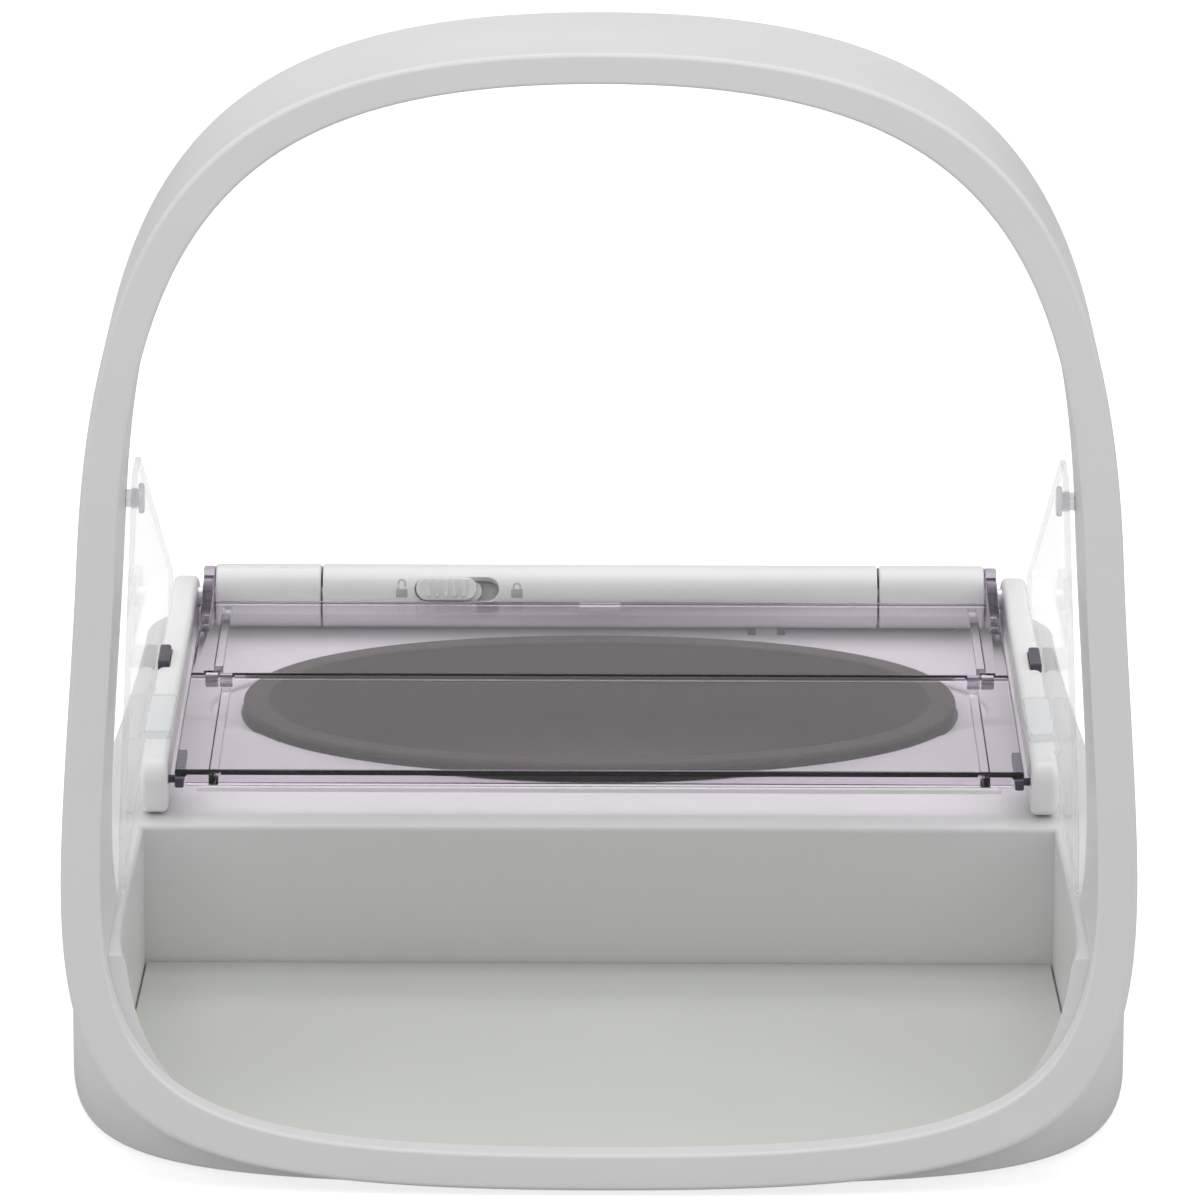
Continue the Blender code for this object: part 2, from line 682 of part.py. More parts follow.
def build_base():
    shell = smooth_solid("base_shell", [footprint_knots(0, 0, 0)], 'XY', SHELL_BOTTOM, DECK_HEIGHT,
                         WHITE_SHELL)
    cut(shell, tilted_block("base_front_cutter", HOOP_FOOT_DEPTH + CLEARANCE, -OVERRUN,
                            DECK_HEIGHT + OVERRUN, True))
    tray = smooth_solid("tray_cutter", [tray_knots(0, 0)], 'XY', TRAY_FLOOR, DECK_HEIGHT + OVERRUN)
    cut(tray, box("tray_back_cutter", (-BASE_WIDTH, TRAY_DEPTH, -OVERRUN),
                  (BASE_WIDTH, BASE_DEPTH * 2, DECK_HEIGHT + OVERRUN * 2)))
    recess = smooth_solid("underside_cutter", [footprint_knots(WALL, BASE_FRONT_SETBACK + WALL + HOOP_FOOT_DEPTH,
                                                               WALL)],
                          'XY', -OVERRUN, SEAT_TOP)
    inner = WALL + PANEL_LEDGE
    cavity = smooth_solid("cavity_cutter", [footprint_knots(inner, inner, inner)], 'XY', -OVERRUN,
                          DECK_UNDERSIDE)
    cut(cavity, box("cavity_front_cutter", (-BASE_WIDTH, -BASE_DEPTH, -OVERRUN * 2),
                    (BASE_WIDTH, CAVITY_FRONT, DECK_HEIGHT)))
    cut(shell, tray, recess, cavity)

    top, low = well_sizes(WELL_WALL)
    join(shell, oval_loft("well_outer", (*low, WELL_FLOOR - WELL_WALL), (*top, DECK_HEIGHT - CLEARANCE)))
    top, low = well_sizes(0)
    cut(shell, oval_loft("well_inner", (*low, WELL_FLOOR), carried_on((*low, WELL_FLOOR), (*top, DECK_HEIGHT))))
    for side, sign in SIDES:
        centre = sign * (BOWL_LENGTH / 2 + FINGER_REACH - FINGER_RADIUS)
        finger = rod("finger_" + side, (centre, BOWL_CENTRE_DEPTH, DECK_HEIGHT - WALL / 2),
                     (centre, BOWL_CENTRE_DEPTH, DECK_HEIGHT + OVERRUN), FINGER_RADIUS)
        cut(shell, finger)

    ribs = ((-BAY_OUTER - BAY_RIB, -BAY_OUTER), (-BAY_INNER, BAY_INNER), (BAY_OUTER, BAY_OUTER + BAY_RIB))
    for index, (rib_low, rib_high) in enumerate(ribs):
        rib = box("bay_rib_" + str(index), (rib_low, TRAY_DEPTH + WALL / 2, SEAT_TOP + CLEARANCE),
                  (rib_high, BAY_BACK - BAY_RIB_SETBACK, DECK_HEIGHT - WALL / 2))
        join(shell, rib)

    hatch = box("hatch_cutter", (-HATCH_HALF, HATCH_FRONT, DECK_UNDERSIDE - OVERRUN),
                (HATCH_HALF, HATCH_BACK, DECK_HEIGHT + OVERRUN))
    cut(shell, hatch)
    return shell


# Underside: panel, battery doors, cells, contacts, feet and screws


DOOR_HALF_BREADTH = (CELL_DIAMETER + DOOR_LIP) / 2
DOOR_LENGTH = BAY_LENGTH + DOOR_LIP
PANEL_INSET = WALL + CLEARANCE
PANEL_FRONT_INSET = BASE_FRONT_SETBACK + WALL + HOOP_FOOT_DEPTH + CLEARANCE


def foot_places():
    front = BASE_SIDE_START - FOOT_INSET
    back = BASE_DEPTH - BASE_REAR_CORNER - FOOT_INSET
    across = BASE_REAR_WIDTH / 2 - FOOT_INSET
    return [(name_y + "_" + name_x, sign * across, depth) for name_y, depth in (("front", front), ("rear", back))
            for name_x, sign in SIDES]


def screw_places():
    side_wall = HALF_WIDTH - TRAY_SIDE_WALL / 2
    rear_across = BASE_REAR_WIDTH / 2 - SCREW_REAR_INSET
    return [(name_y + "_" + name_x, sign * across, depth)
            for name_y, across, depth in (("front", side_wall, BASE_SIDE_START),
                                          ("rear", rear_across, BASE_DEPTH - SCREW_INSET))
            for name_x, sign in SIDES]


def door_span(sign):
    inner = BAY_INNER - DOOR_LIP / 2
    return span(sign, inner, inner + DOOR_LENGTH)


def build_underside(shell):
    panel = smooth_solid("floor_panel", [footprint_knots(PANEL_INSET, PANEL_FRONT_INSET, PANEL_INSET)], 'XY',
                         SHELL_BOTTOM, PANEL_TOP, WHITE_SHELL)
    door_low = CELL_ROW_DEPTH - DOOR_HALF_BREADTH
    door_high = CELL_ROW_DEPTH + DOOR_HALF_BREADTH
    for side, sign in SIDES:
        left, right = door_span(sign)
        step = DOOR_LIP / 2
        cut(panel, box("door_step_" + side, (left - step, door_low - step, SHELL_BOTTOM - OVERRUN),
                       (right + step, door_high + step, SHELL_BOTTOM + DOOR_THICKNESS)))
        cut(panel, box("door_hole_" + side, (left + step, door_low + step, SHELL_BOTTOM - OVERRUN),
                       (right - step, door_high - step, PANEL_TOP + OVERRUN)))
        edge = step - CLEARANCE
        door = box("battery_door_" + side, (left - edge, door_low - edge, SHELL_BOTTOM),
                   (right + edge, door_high + edge, SHELL_BOTTOM + DOOR_THICKNESS - CLEARANCE), WHITE_SHELL)
        grip = (left + right) / 2
        for index in range(RIDGE_COUNT):
            groove = grip + (index - (RIDGE_COUNT - 1) / 2) * DOOR_LIP
            cut(door, rod("door_groove_" + side + str(index),
                          (groove, CELL_ROW_DEPTH - DOOR_HALF_BREADTH / 2, SHELL_BOTTOM),
                          (groove, CELL_ROW_DEPTH + DOOR_HALF_BREADTH / 2, SHELL_BOTTOM),
                          RIDGE_RADIUS, steps=SMALL_ROUND_STEPS // 2))
        moved_origin(door, (grip, CELL_ROW_DEPTH, SHELL_BOTTOM))
    for name, across, depth in foot_places():
        cut(panel, rod("foot_recess_" + name, (across, depth, SHELL_BOTTOM - OVERRUN),
                       (across, depth, FOOT_THICKNESS + CLEARANCE), FOOT_RADIUS + CLEARANCE))
        rod("foot_" + name, (across, depth, 0), (across, depth, FOOT_THICKNESS), FOOT_RADIUS, DARK_RUBBER)
    for name, across, depth in screw_places():
        build_screw(panel, shell, name, across, depth)
    return panel


def build_screw(panel, shell, name, across, depth):
    head_top = SHELL_BOTTOM + SCREW_HEAD_THICKNESS
    screw = rod("screw_" + name, (across, depth, SHELL_BOTTOM), (across, depth, head_top), SCREW_HEAD_RADIUS,
                STEEL, steps=SMALL_ROUND_STEPS)
    tip = SHELL_BOTTOM + SCREW_LENGTH
    shank = rod("screw_shank_" + name, (across, depth, SHELL_BOTTOM + SCREW_HEAD_THICKNESS / 2),
                (across, depth, tip), SCREW_RADIUS, steps=SMALL_ROUND_STEPS)
    join(screw, shank)
    half_bit = SCREW_HEAD_THICKNESS / 2
    for turn, reach in (("long", (SCREW_RADIUS, half_bit / 2)), ("wide", (half_bit / 2, SCREW_RADIUS))):
        cut(screw, box("screw_bit_" + turn + "_" + name, (across - reach[0], depth - reach[1], -OVERRUN),
                       (across + reach[0], depth + reach[1], SHELL_BOTTOM + half_bit)))
    hole = SCREW_RADIUS + CLEARANCE
    cut(panel, rod("screw_seat_" + name, (across, depth, SHELL_BOTTOM - OVERRUN),
                   (across, depth, head_top + CLEARANCE), SCREW_HEAD_RADIUS + CLEARANCE,
                   steps=SMALL_ROUND_STEPS))
    cut(panel, rod("screw_hole_" + name, (across, depth, SHELL_BOTTOM), (across, depth, PANEL_TOP + OVERRUN),
                   hole, steps=SMALL_ROUND_STEPS))
    in_tray = depth < TRAY_DEPTH
    if in_tray:
        # The front screws bite into the tray's side walls
        cut(shell, rod("boss_bore_" + name, (across, depth, -OVERRUN), (across, depth, tip + CLEARANCE),
                       hole, steps=SMALL_ROUND_STEPS))
        return
    boss = rod("boss_" + name, (across, depth, SEAT_TOP + CLEARANCE), (across, depth, DECK_HEIGHT - WALL / 2),
               SCREW_RADIUS + WALL / 2, steps=SMALL_ROUND_STEPS)
    join(shell, boss)
    cut(shell, rod("boss_bore_" + name, (across, depth, -OVERRUN), (across, depth, tip + CLEARANCE), hole,
                   steps=SMALL_ROUND_STEPS))


def build_cells():
    row = (CELL_ROW_DEPTH, CELL_ROW_HEIGHT)
    for side, sign in SIDES:
        stop = BAY_INNER + CLEARANCE
        for index in range(2):
            near = stop + CONTACT_THICKNESS + CLEARANCE + index * (CELL_LENGTH + CLEARANCE)
            base_end = near + CELL_BODY_LENGTH
            cell = rod("cell_" + side + "_" + str(index + 1), (sign * near, *row), (sign * base_end, *row),
                       CELL_DIAMETER / 2 - CELL_GAP, CELL_JACKET)
            stud = rod("cell_stud_" + side + str(index), (sign * (base_end - CELL_GAP), *row),
                       (sign * (near + CELL_LENGTH), *row), CELL_STUD_RADIUS, steps=SMALL_ROUND_STEPS)
            join(cell, stud)
        inner = span(sign, stop, stop + CONTACT_THICKNESS)
        half = CONTACT_SIZE / 2
        box("contact_plate_" + side, (inner[0], row[0] - half, row[1] - half),
            (inner[1], row[0] + half, row[1] + half), BRASS)
        outer_end = BAY_OUTER - CLEARANCE
        cell_end = stop + CONTACT_THICKNESS + CLEARANCE * 2 + CELL_LENGTH * 2
        build_contact_spring("contact_spring_" + side, sign, cell_end + CLEARANCE, outer_end, row)


def build_contact_spring(name, sign, inner, outer, row):
    # A leaf folded from strip: a foot on the bay's wall and a bowed tongue that meets the cell's stud
    half = CONTACT_SIZE / 2
    leaf = CONTACT_THICKNESS
    points = [(outer, -half), (outer, half), (outer - leaf, half), (outer - leaf, -half + leaf)]
    bow = arc((outer - leaf, 0), half - leaf, -math.pi / 2, -math.pi * 3 / 2)
    reach = outer - leaf - inner
    squeeze = reach / (half - leaf)
    outside = [(outer - leaf - (outer - leaf - x) * squeeze, z) for x, z in bow]
    inside = [(x + leaf, z * (half - leaf * 2) / (half - leaf)) for x, z in outside]
    tongue = outside + list(reversed(inside))
    points = [(sign * x, z + row[1]) for x, z in tongue]
    spring = outline_solid(name, points, 'XZ', row[0] - CONTACT_TONGUE_HALF, row[0] + CONTACT_TONGUE_HALF,
                           BRASS)
    plate = box("spring_foot_" + name, (min(sign * (outer - leaf), sign * outer), row[0] - half, row[1] - half),
                (max(sign * (outer - leaf), sign * outer), row[0] + half, row[1] + half))
    join(spring, plate)


# Bowl and mat


def build_bowl():
    rim_half = bowl_half(0)
    rim_low = BOWL_RIM_HEIGHT - BOWL_RIM_THICKNESS
    bowl = smooth_solid("bowl", [oval_knots(*rim_half, BOWL_CENTRE_DEPTH)], 'XY', rim_low, BOWL_RIM_HEIGHT,
                        GREY_BOWL)
    body_top = bowl_half(-BOWL_RIM_WIDTH)
    body_low = bowl_half(-BOWL_RIM_WIDTH - BOWL_DRAFT)
    join(bowl, oval_loft("bowl_body", (*body_low, BOWL_FLOOR), (*body_top, rim_low + BOWL_RIM_THICKNESS / 2)))
    inner_top = bowl_half(-BOWL_RIM_WIDTH - BOWL_WALL)
    inner_low = bowl_half(-BOWL_RIM_WIDTH - BOWL_WALL - BOWL_DRAFT)
    inner_floor = bowl_half(-BOWL_RIM_WIDTH - BOWL_WALL - BOWL_DRAFT - BOWL_FLOOR_ROUND)
    floor = BOWL_FLOOR + BOWL_WALL
    bend = floor + BOWL_FLOOR_ROUND / 2
    cut(bowl, oval_loft("bowl_inside_floor", (*inner_floor, floor), (*inner_low, bend)))
    inside = oval_loft("bowl_inside", (*inner_low, bend - CLEARANCE / 2),
                       carried_on((*inner_low, bend), (*inner_top, BOWL_RIM_HEIGHT)))
    cut(bowl, inside)
    return moved_origin(bowl, (0, BOWL_CENTRE_DEPTH, BOWL_RIM_HEIGHT))


def build_mat():
    low = TRAY_FLOOR + CLEARANCE
    mat = smooth_solid("tray_mat", [tray_knots(MAT_FIT, MAT_FRONT_FIT)], 'XY', low, low + MAT_THICKNESS,
                       PALE_MAT)
    cut(mat, box("mat_back_cutter", (-BASE_WIDTH, TRAY_DEPTH - MAT_FIT, -OVERRUN),
                 (BASE_WIDTH, BASE_DEPTH * 2, DECK_HEIGHT)))
    return mat


# Turned and swept helpers for the barrel


def arc_band(name, inner, outer, start, end, low, high, material=None):
    # A band about the barrel's axis between two radii; angles run from straight up towards the front
    quarter = math.pi / 2
    centre = (AXIS_DEPTH, AXIS_HEIGHT)
    ring = arc(centre, outer, quarter + start, quarter + end)
    ring += arc(centre, inner, quarter + end, quarter + start)
    return outline_solid(name, ring, 'YZ', low, high, material)


def round_corners(points, radius):
    # The same outline with each corner turned by an arc that touches both of its sides
    rounded = []
    for index, corner in enumerate(points):
        here = Vector(corner)
        before = (Vector(points[index - 1]) - here).normalized()
        after = (Vector(points[(index + 1) % len(points)]) - here).normalized()
        half = before.angle(after) / 2
        centre = here + (before + after).normalized() * (radius / math.sin(half))
        start = here + before * (radius / math.tan(half)) - centre
        end = here + after * (radius / math.tan(half)) - centre
        first = math.atan2(start.y, start.x)
        turn = (math.atan2(end.y, end.x) - first + math.pi) % (2 * math.pi) - math.pi
        rounded += arc(centre, radius, first, first + turn, ARC_STEPS // 2)
    return rounded


# Lid: two clear panels that fold at their shared pins


def side_rim(name, side, sign, low, high, inset):
    outer = HALF_LID - inset
    across = span(sign, outer - LID_RIM_WIDTH, outer)
    return box(name + side, (across[0], low, PLATE_BOTTOM - LID_RIM_DROP),
               (across[1], high, PLATE_BOTTOM + LID_THICKNESS / 2))


def knuckle(name, sign, inner, length):
    low, high = span(sign, inner, inner + length)
    return rod(name, (low, FOLD_DEPTH, AXIS_HEIGHT), (high, FOLD_DEPTH, AXIS_HEIGHT), KNUCKLE_RADIUS,
               steps=SMALL_ROUND_STEPS)


def build_lid():
    plate_back = AXIS_DEPTH - BARREL_RADIUS - PLATE_BACK_GAP
    rear = box("lid_rear_panel", (-HALF_LID, FOLD_DEPTH + FOLD_GAP / 2, PLATE_BOTTOM),
               (HALF_LID, plate_back, PLATE_TOP), CLEAR_LID)
    front = box("lid_front_panel", (-HALF_LID, LID_FRONT, PLATE_BOTTOM),
                (HALF_LID, FOLD_DEPTH - FOLD_GAP / 2, PLATE_TOP), CLEAR_LID)
    half_bar = HALF_LID - SHOE_WIDTH - CLEARANCE
    bar = box("front_bar", (-half_bar, LID_FRONT, PLATE_BOTTOM - FRONT_BAR_DROP),
              (half_bar, LID_FRONT + FRONT_BAR_DEPTH, PLATE_BOTTOM + LID_THICKNESS / 2))
    join(front, bar)
    rim_gap = LID_RIM_DROP / math.tan(math.pi / 2 - LID_OPEN_ANGLE) / 2 + FOLD_GAP
    nested_inset = LID_RIM_INSET + LID_RIM_WIDTH + CLEARANCE
    inner_knuckle = HALF_LID - KNUCKLE_INSET - KNUCKLE_WIDTH * 2 - CLEARANCE
    outer_knuckle = HALF_LID - KNUCKLE_INSET - KNUCKLE_WIDTH
    notch = KNUCKLE_RADIUS + RUNNING_GAP
    bore_end = KNUCKLE_WIDTH * 2
    for side, sign in SIDES:
        rear_notch = span(sign, outer_knuckle - KNUCKLE_RELIEF, outer_knuckle + KNUCKLE_WIDTH + KNUCKLE_RELIEF)
        front_notch = span(sign, inner_knuckle - KNUCKLE_RELIEF, inner_knuckle + KNUCKLE_WIDTH + KNUCKLE_RELIEF)
        cut(rear, box("rear_notch_" + side, (rear_notch[0], FOLD_DEPTH - OVERRUN, PLATE_BOTTOM - OVERRUN),
                      (rear_notch[1], FOLD_DEPTH + notch, PLATE_TOP + OVERRUN)))
        cut(front, box("front_notch_" + side, (front_notch[0], FOLD_DEPTH - notch, PLATE_BOTTOM - OVERRUN),
                       (front_notch[1], FOLD_DEPTH + OVERRUN, PLATE_TOP + OVERRUN)))
        join(rear, knuckle("rear_knuckle_" + side, sign, inner_knuckle, KNUCKLE_WIDTH))
        join(front, knuckle("front_knuckle_" + side, sign, outer_knuckle, KNUCKLE_WIDTH))
        join(rear, side_rim("rear_rim_", side, sign, FOLD_DEPTH + rim_gap, plate_back - LID_RIM_WIDTH,
                            LID_RIM_INSET))
        join(front, side_rim("front_rim_", side, sign, LID_FRONT + LID_RIM_WIDTH, FOLD_DEPTH - rim_gap,
                             nested_inset))
        bore = span(sign, inner_knuckle - bore_end, outer_knuckle + bore_end)
        for panel, tag in ((rear, "rear"), (front, "front")):
            cut(panel, rod("fold_bore_" + tag + side, (bore[0], FOLD_DEPTH, AXIS_HEIGHT),
                           (bore[1], FOLD_DEPTH, AXIS_HEIGHT), PIN_RADIUS + CLEARANCE,
                           steps=SMALL_ROUND_STEPS))
        pin_ends = span(sign, inner_knuckle, outer_knuckle + KNUCKLE_WIDTH)
        rod("fold_pin_" + side, (pin_ends[0], FOLD_DEPTH, AXIS_HEIGHT), (pin_ends[1], FOLD_DEPTH, AXIS_HEIGHT),
            PIN_RADIUS, STEEL, steps=SMALL_ROUND_STEPS)
        build_arm(rear, side, sign, plate_back)
        build_sleeve(side, sign)
        build_guide_shoe(side, sign)
    seal_front = LID_FRONT + CLEARANCE
    seal_top = PLATE_BOTTOM - FRONT_BAR_DROP - CLEARANCE
    seal = box("lid_front_seal", (-HALF_LID + LID_RIM_INSET, seal_front, seal_top - SEAL_HEIGHT),
               (HALF_LID - LID_RIM_INSET, LID_FRONT + FRONT_BAR_DEPTH - CLEARANCE, seal_top), WHITE_TRIM)
    moved_origin(seal, (0, FOLD_DEPTH, AXIS_HEIGHT))
    moved_origin(front, (0, FOLD_DEPTH, AXIS_HEIGHT))
    moved_origin(rear, (0, AXIS_DEPTH, AXIS_HEIGHT))


def build_arm(rear, side, sign, plate_back):
    # The arm wraps the barrel's end: a tongue from the plate's corner, round about the axis
    low, high = span(sign, ARM_INNER, HALF_LID)
    inner, outer = span(sign, ARM_INNER + ARM_STEP, HALF_LID - ARM_STEP)
    reach = plate_back - ARM_LENGTH
    tongue_root = HUB_RADIUS - ARM_STEP
    tongue = [(reach, PLATE_BOTTOM + CLEARANCE), (AXIS_DEPTH, AXIS_HEIGHT - tongue_root),
              (AXIS_DEPTH, AXIS_HEIGHT + tongue_root), (reach, PLATE_TOP - CLEARANCE)]
    join(rear, outline_solid("lid_arm_" + side, tongue, 'YZ', inner, outer))
    join(rear, rod("lid_hub_" + side, (low, AXIS_DEPTH, AXIS_HEIGHT), (high, AXIS_DEPTH, AXIS_HEIGHT),
                   HUB_RADIUS))
    end = span(sign, ARM_INNER - OVERRUN, HALF_LID + OVERRUN)
    cut(rear, rod("arm_bore_" + side, (end[0], AXIS_DEPTH, AXIS_HEIGHT), (end[1], AXIS_DEPTH, AXIS_HEIGHT),
                  SHAFT_RADIUS + SHAFT_FIT))


def build_sleeve(side, sign):
    low, high = span(sign, SLEEVE_START, SLEEVE_END)
    sleeve = rod("barrel_sleeve_" + side, (low, AXIS_DEPTH, AXIS_HEIGHT), (high, AXIS_DEPTH, AXIS_HEIGHT),
                 BARREL_RADIUS, WHITE_TRIM)
    cut(sleeve, rod("sleeve_bore_" + side, (low - OVERRUN, AXIS_DEPTH, AXIS_HEIGHT),
                    (high + OVERRUN, AXIS_DEPTH, AXIS_HEIGHT), SHAFT_RADIUS + SHAFT_FIT))
    moved_origin(sleeve, (0, AXIS_DEPTH, AXIS_HEIGHT))


def build_guide_shoe(side, sign):
    # The dark shoe under the front panel's corner; its pin runs in the pod's slot
    top = PLATE_BOTTOM - CLEARANCE
    block_low, block_high = span(sign, HALF_LID - SHOE_WIDTH, HALF_LID)
    shoe = box("guide_shoe_" + side, (block_low, LID_FRONT, top - SHOE_HEIGHT),
               (block_high, LID_FRONT + SHOE_LENGTH, top), DARK_PEG)
    pin_height = AXIS_HEIGHT - GUIDE_PIN_DROP
    tip = sign * (POD_INNER + SLOT_DEPTH - RUNNING_GAP)
    pin = rod("guide_pin_" + side, (sign * (HALF_LID - SHOE_WIDTH / 2), GUIDE_DEPTH, pin_height),
              (tip, GUIDE_DEPTH, pin_height), GUIDE_PIN_RADIUS, steps=SMALL_ROUND_STEPS)
    join(shoe, pin)
    moved_origin(shoe, (0, FOLD_DEPTH, AXIS_HEIGHT))


# Side pods, their caps, the clear shields, pegs and clips


def guide_travel():
    swing = 2 * LINK * (1 - math.cos(LID_OPEN_ANGLE))
    return swing + GUIDE_PIN_DROP * math.sin(LID_OPEN_ANGLE)


def build_pod(side, sign):
    low, high = span(sign, POD_INNER, POD_OUTER)
    bottom = DECK_HEIGHT + CLEARANCE
    corners = [(POD_FRONT, bottom), (POD_BACK, bottom), (POD_BACK, POD_TOP), (POD_FRONT, POD_TOP)]
    pod = outline_solid("side_pod_" + side, round_corners(corners, POD_ROUND), 'YZ', low, high, WHITE_TRIM)
    slot_across = span(sign, POD_INNER - OVERRUN, POD_INNER + SLOT_DEPTH)
    half = GUIDE_PIN_RADIUS + RUNNING_GAP
    slot_low = (GUIDE_DEPTH - half, AXIS_HEIGHT - GUIDE_PIN_DROP - half)
    slot_high = (GUIDE_DEPTH + guide_travel() + half,
                 AXIS_HEIGHT - GUIDE_PIN_DROP * math.cos(LID_OPEN_ANGLE) + half)
    slot = outline_solid("guide_slot_" + side, rounded_box_points(slot_low, slot_high, half * SLOT_END_SHARE),
                         'YZ', *slot_across)
    shaft_end = POD_INNER + POD_WIDTH / 2
    bore = span(sign, POD_INNER - OVERRUN, shaft_end + CLEARANCE)
    cut(pod, slot, rod("pod_bore_" + side, (bore[0], AXIS_DEPTH, AXIS_HEIGHT), (bore[1], AXIS_DEPTH, AXIS_HEIGHT),
                       SHAFT_RADIUS + SHAFT_FIT))
    seat_low, seat_high = span(sign, POD_OUTER - CLIP_WIDTH - CLEARANCE, POD_OUTER + OVERRUN)
    half_clip = CLIP_LENGTH / 2
    cut(pod, box("clip_seat_" + side, (seat_low, CLIP_DEPTH - half_clip - CLEARANCE, POD_TOP - CLIP_THICKNESS),
                 (seat_high, CLIP_DEPTH + half_clip + CLEARANCE, POD_TOP + OVERRUN)))
    clip_across = span(sign, POD_OUTER - CLIP_WIDTH, POD_OUTER)
    box("shield_clip_" + side, (clip_across[0], CLIP_DEPTH - half_clip, POD_TOP - CLIP_THICKNESS + CLEARANCE),
        (clip_across[1], CLIP_DEPTH + half_clip, POD_TOP + CLIP_THICKNESS), DARK_PEG)
    bracket_front = GUIDE_DEPTH + BRACKET_START
    bracket = outline_solid("shield_bracket_" + side,
                            rounded_box_points((low, bracket_front), (high, bracket_front + BRACKET_LENGTH),
                                               BRACKET_THICKNESS / 2),
                            'XY', POD_TOP + CLEARANCE, POD_TOP + BRACKET_THICKNESS, CLEAR_SHIELD)
    return pod, bracket


def build_shield(hoop, side, sign):
    bottom = DECK_HEIGHT + CLEARANCE
    lap_foot = POD_TOP
    top = SHIELD_TOP_HEIGHT
    edge = HOOP_DEPTH - SHIELD_LAP
    points = [
        (bottom * TILT_RUN + HOOP_DEPTH + CLEARANCE, bottom),
        (POD_BACK, bottom),
        (POD_BACK, POD_TOP),
        (top * TILT_RUN + HOOP_DEPTH + SHIELD_TOP_RUN, top),
        (top * TILT_RUN + edge, top),
        (lap_foot * TILT_RUN + edge, lap_foot),
    ]
    low, high = span(sign, SHIELD_INNER, SHIELD_OUTER)
    shield = outline_solid("side_shield_" + side, round_corners(points, SHIELD_CORNER_ROUND), 'YZ', low, high,
                           CLEAR_SHIELD)
    height = SHIELD_TOP_HEIGHT - PEG_INSET
    depth = height * TILT_RUN + HOOP_DEPTH - PEG_INSET
    hole_end = sign * (SHIELD_OUTER + PEG_REACH + CLEARANCE)
    hole_start = sign * (SHIELD_INNER - OVERRUN)
    hole = rod("peg_hole_" + side, (hole_start, depth, height), (hole_end, depth, height),
               PEG_RADIUS + CLEARANCE, steps=SMALL_ROUND_STEPS)
    cut(shield, hole)
    cut(hoop, hole)
    head = sign * (SHIELD_INNER - CLEARANCE)
    peg = rod("shield_peg_" + side, (head - sign * PEG_HEAD_THICKNESS, depth, height), (head, depth, height),
              PEG_HEAD_RADIUS, DARK_PEG, steps=SMALL_ROUND_STEPS)
    join(peg, rod("peg_shank_" + side, (head - sign * PEG_HEAD_THICKNESS / 2, depth, height),
                  (sign * (SHIELD_OUTER + PEG_REACH), depth, height), PEG_RADIUS, steps=SMALL_ROUND_STEPS))


# Rear housing: the fixed middle of the barrel and the cover that slopes away behind it


def slope_angle():
    # Direction, from +Y towards +Z, of the normal of the slope that touches the barrel and the back round
    back = (BASE_DEPTH - CLEARANCE - HOUSING_BACK_ROUND - AXIS_DEPTH,
            HOUSING_BACK_HEIGHT - HOUSING_BACK_ROUND - AXIS_HEIGHT)
    run = math.hypot(*back)
    return math.atan2(back[1], back[0]) + math.acos((BARREL_RADIUS - HOUSING_BACK_ROUND) / run)


def slope_point(along, outward):
    # A point on the slope, that far behind its start and that far outside it
    angle = slope_angle()
    normal = (math.cos(angle), math.sin(angle))
    back = (math.sin(angle), -math.cos(angle))
    reach = BARREL_RADIUS + outward
    return (AXIS_DEPTH + normal[0] * reach + back[0] * along, AXIS_HEIGHT + normal[1] * reach + back[1] * along)


def housing_outline(inset, bottom):
    angle = slope_angle()
    centre = (AXIS_DEPTH, AXIS_HEIGHT)
    back_edge = BASE_DEPTH - CLEARANCE
    back_centre = (back_edge - HOUSING_BACK_ROUND, HOUSING_BACK_HEIGHT - HOUSING_BACK_ROUND)
    points = arc(back_centre, HOUSING_BACK_ROUND - inset, 0, angle, ARC_STEPS // 2)
    points += arc(centre, BARREL_RADIUS - inset, angle, math.pi * 3 / 2, ARC_STEPS * 2)
    points += [(AXIS_DEPTH, bottom), (back_edge - inset, bottom)]
    return points


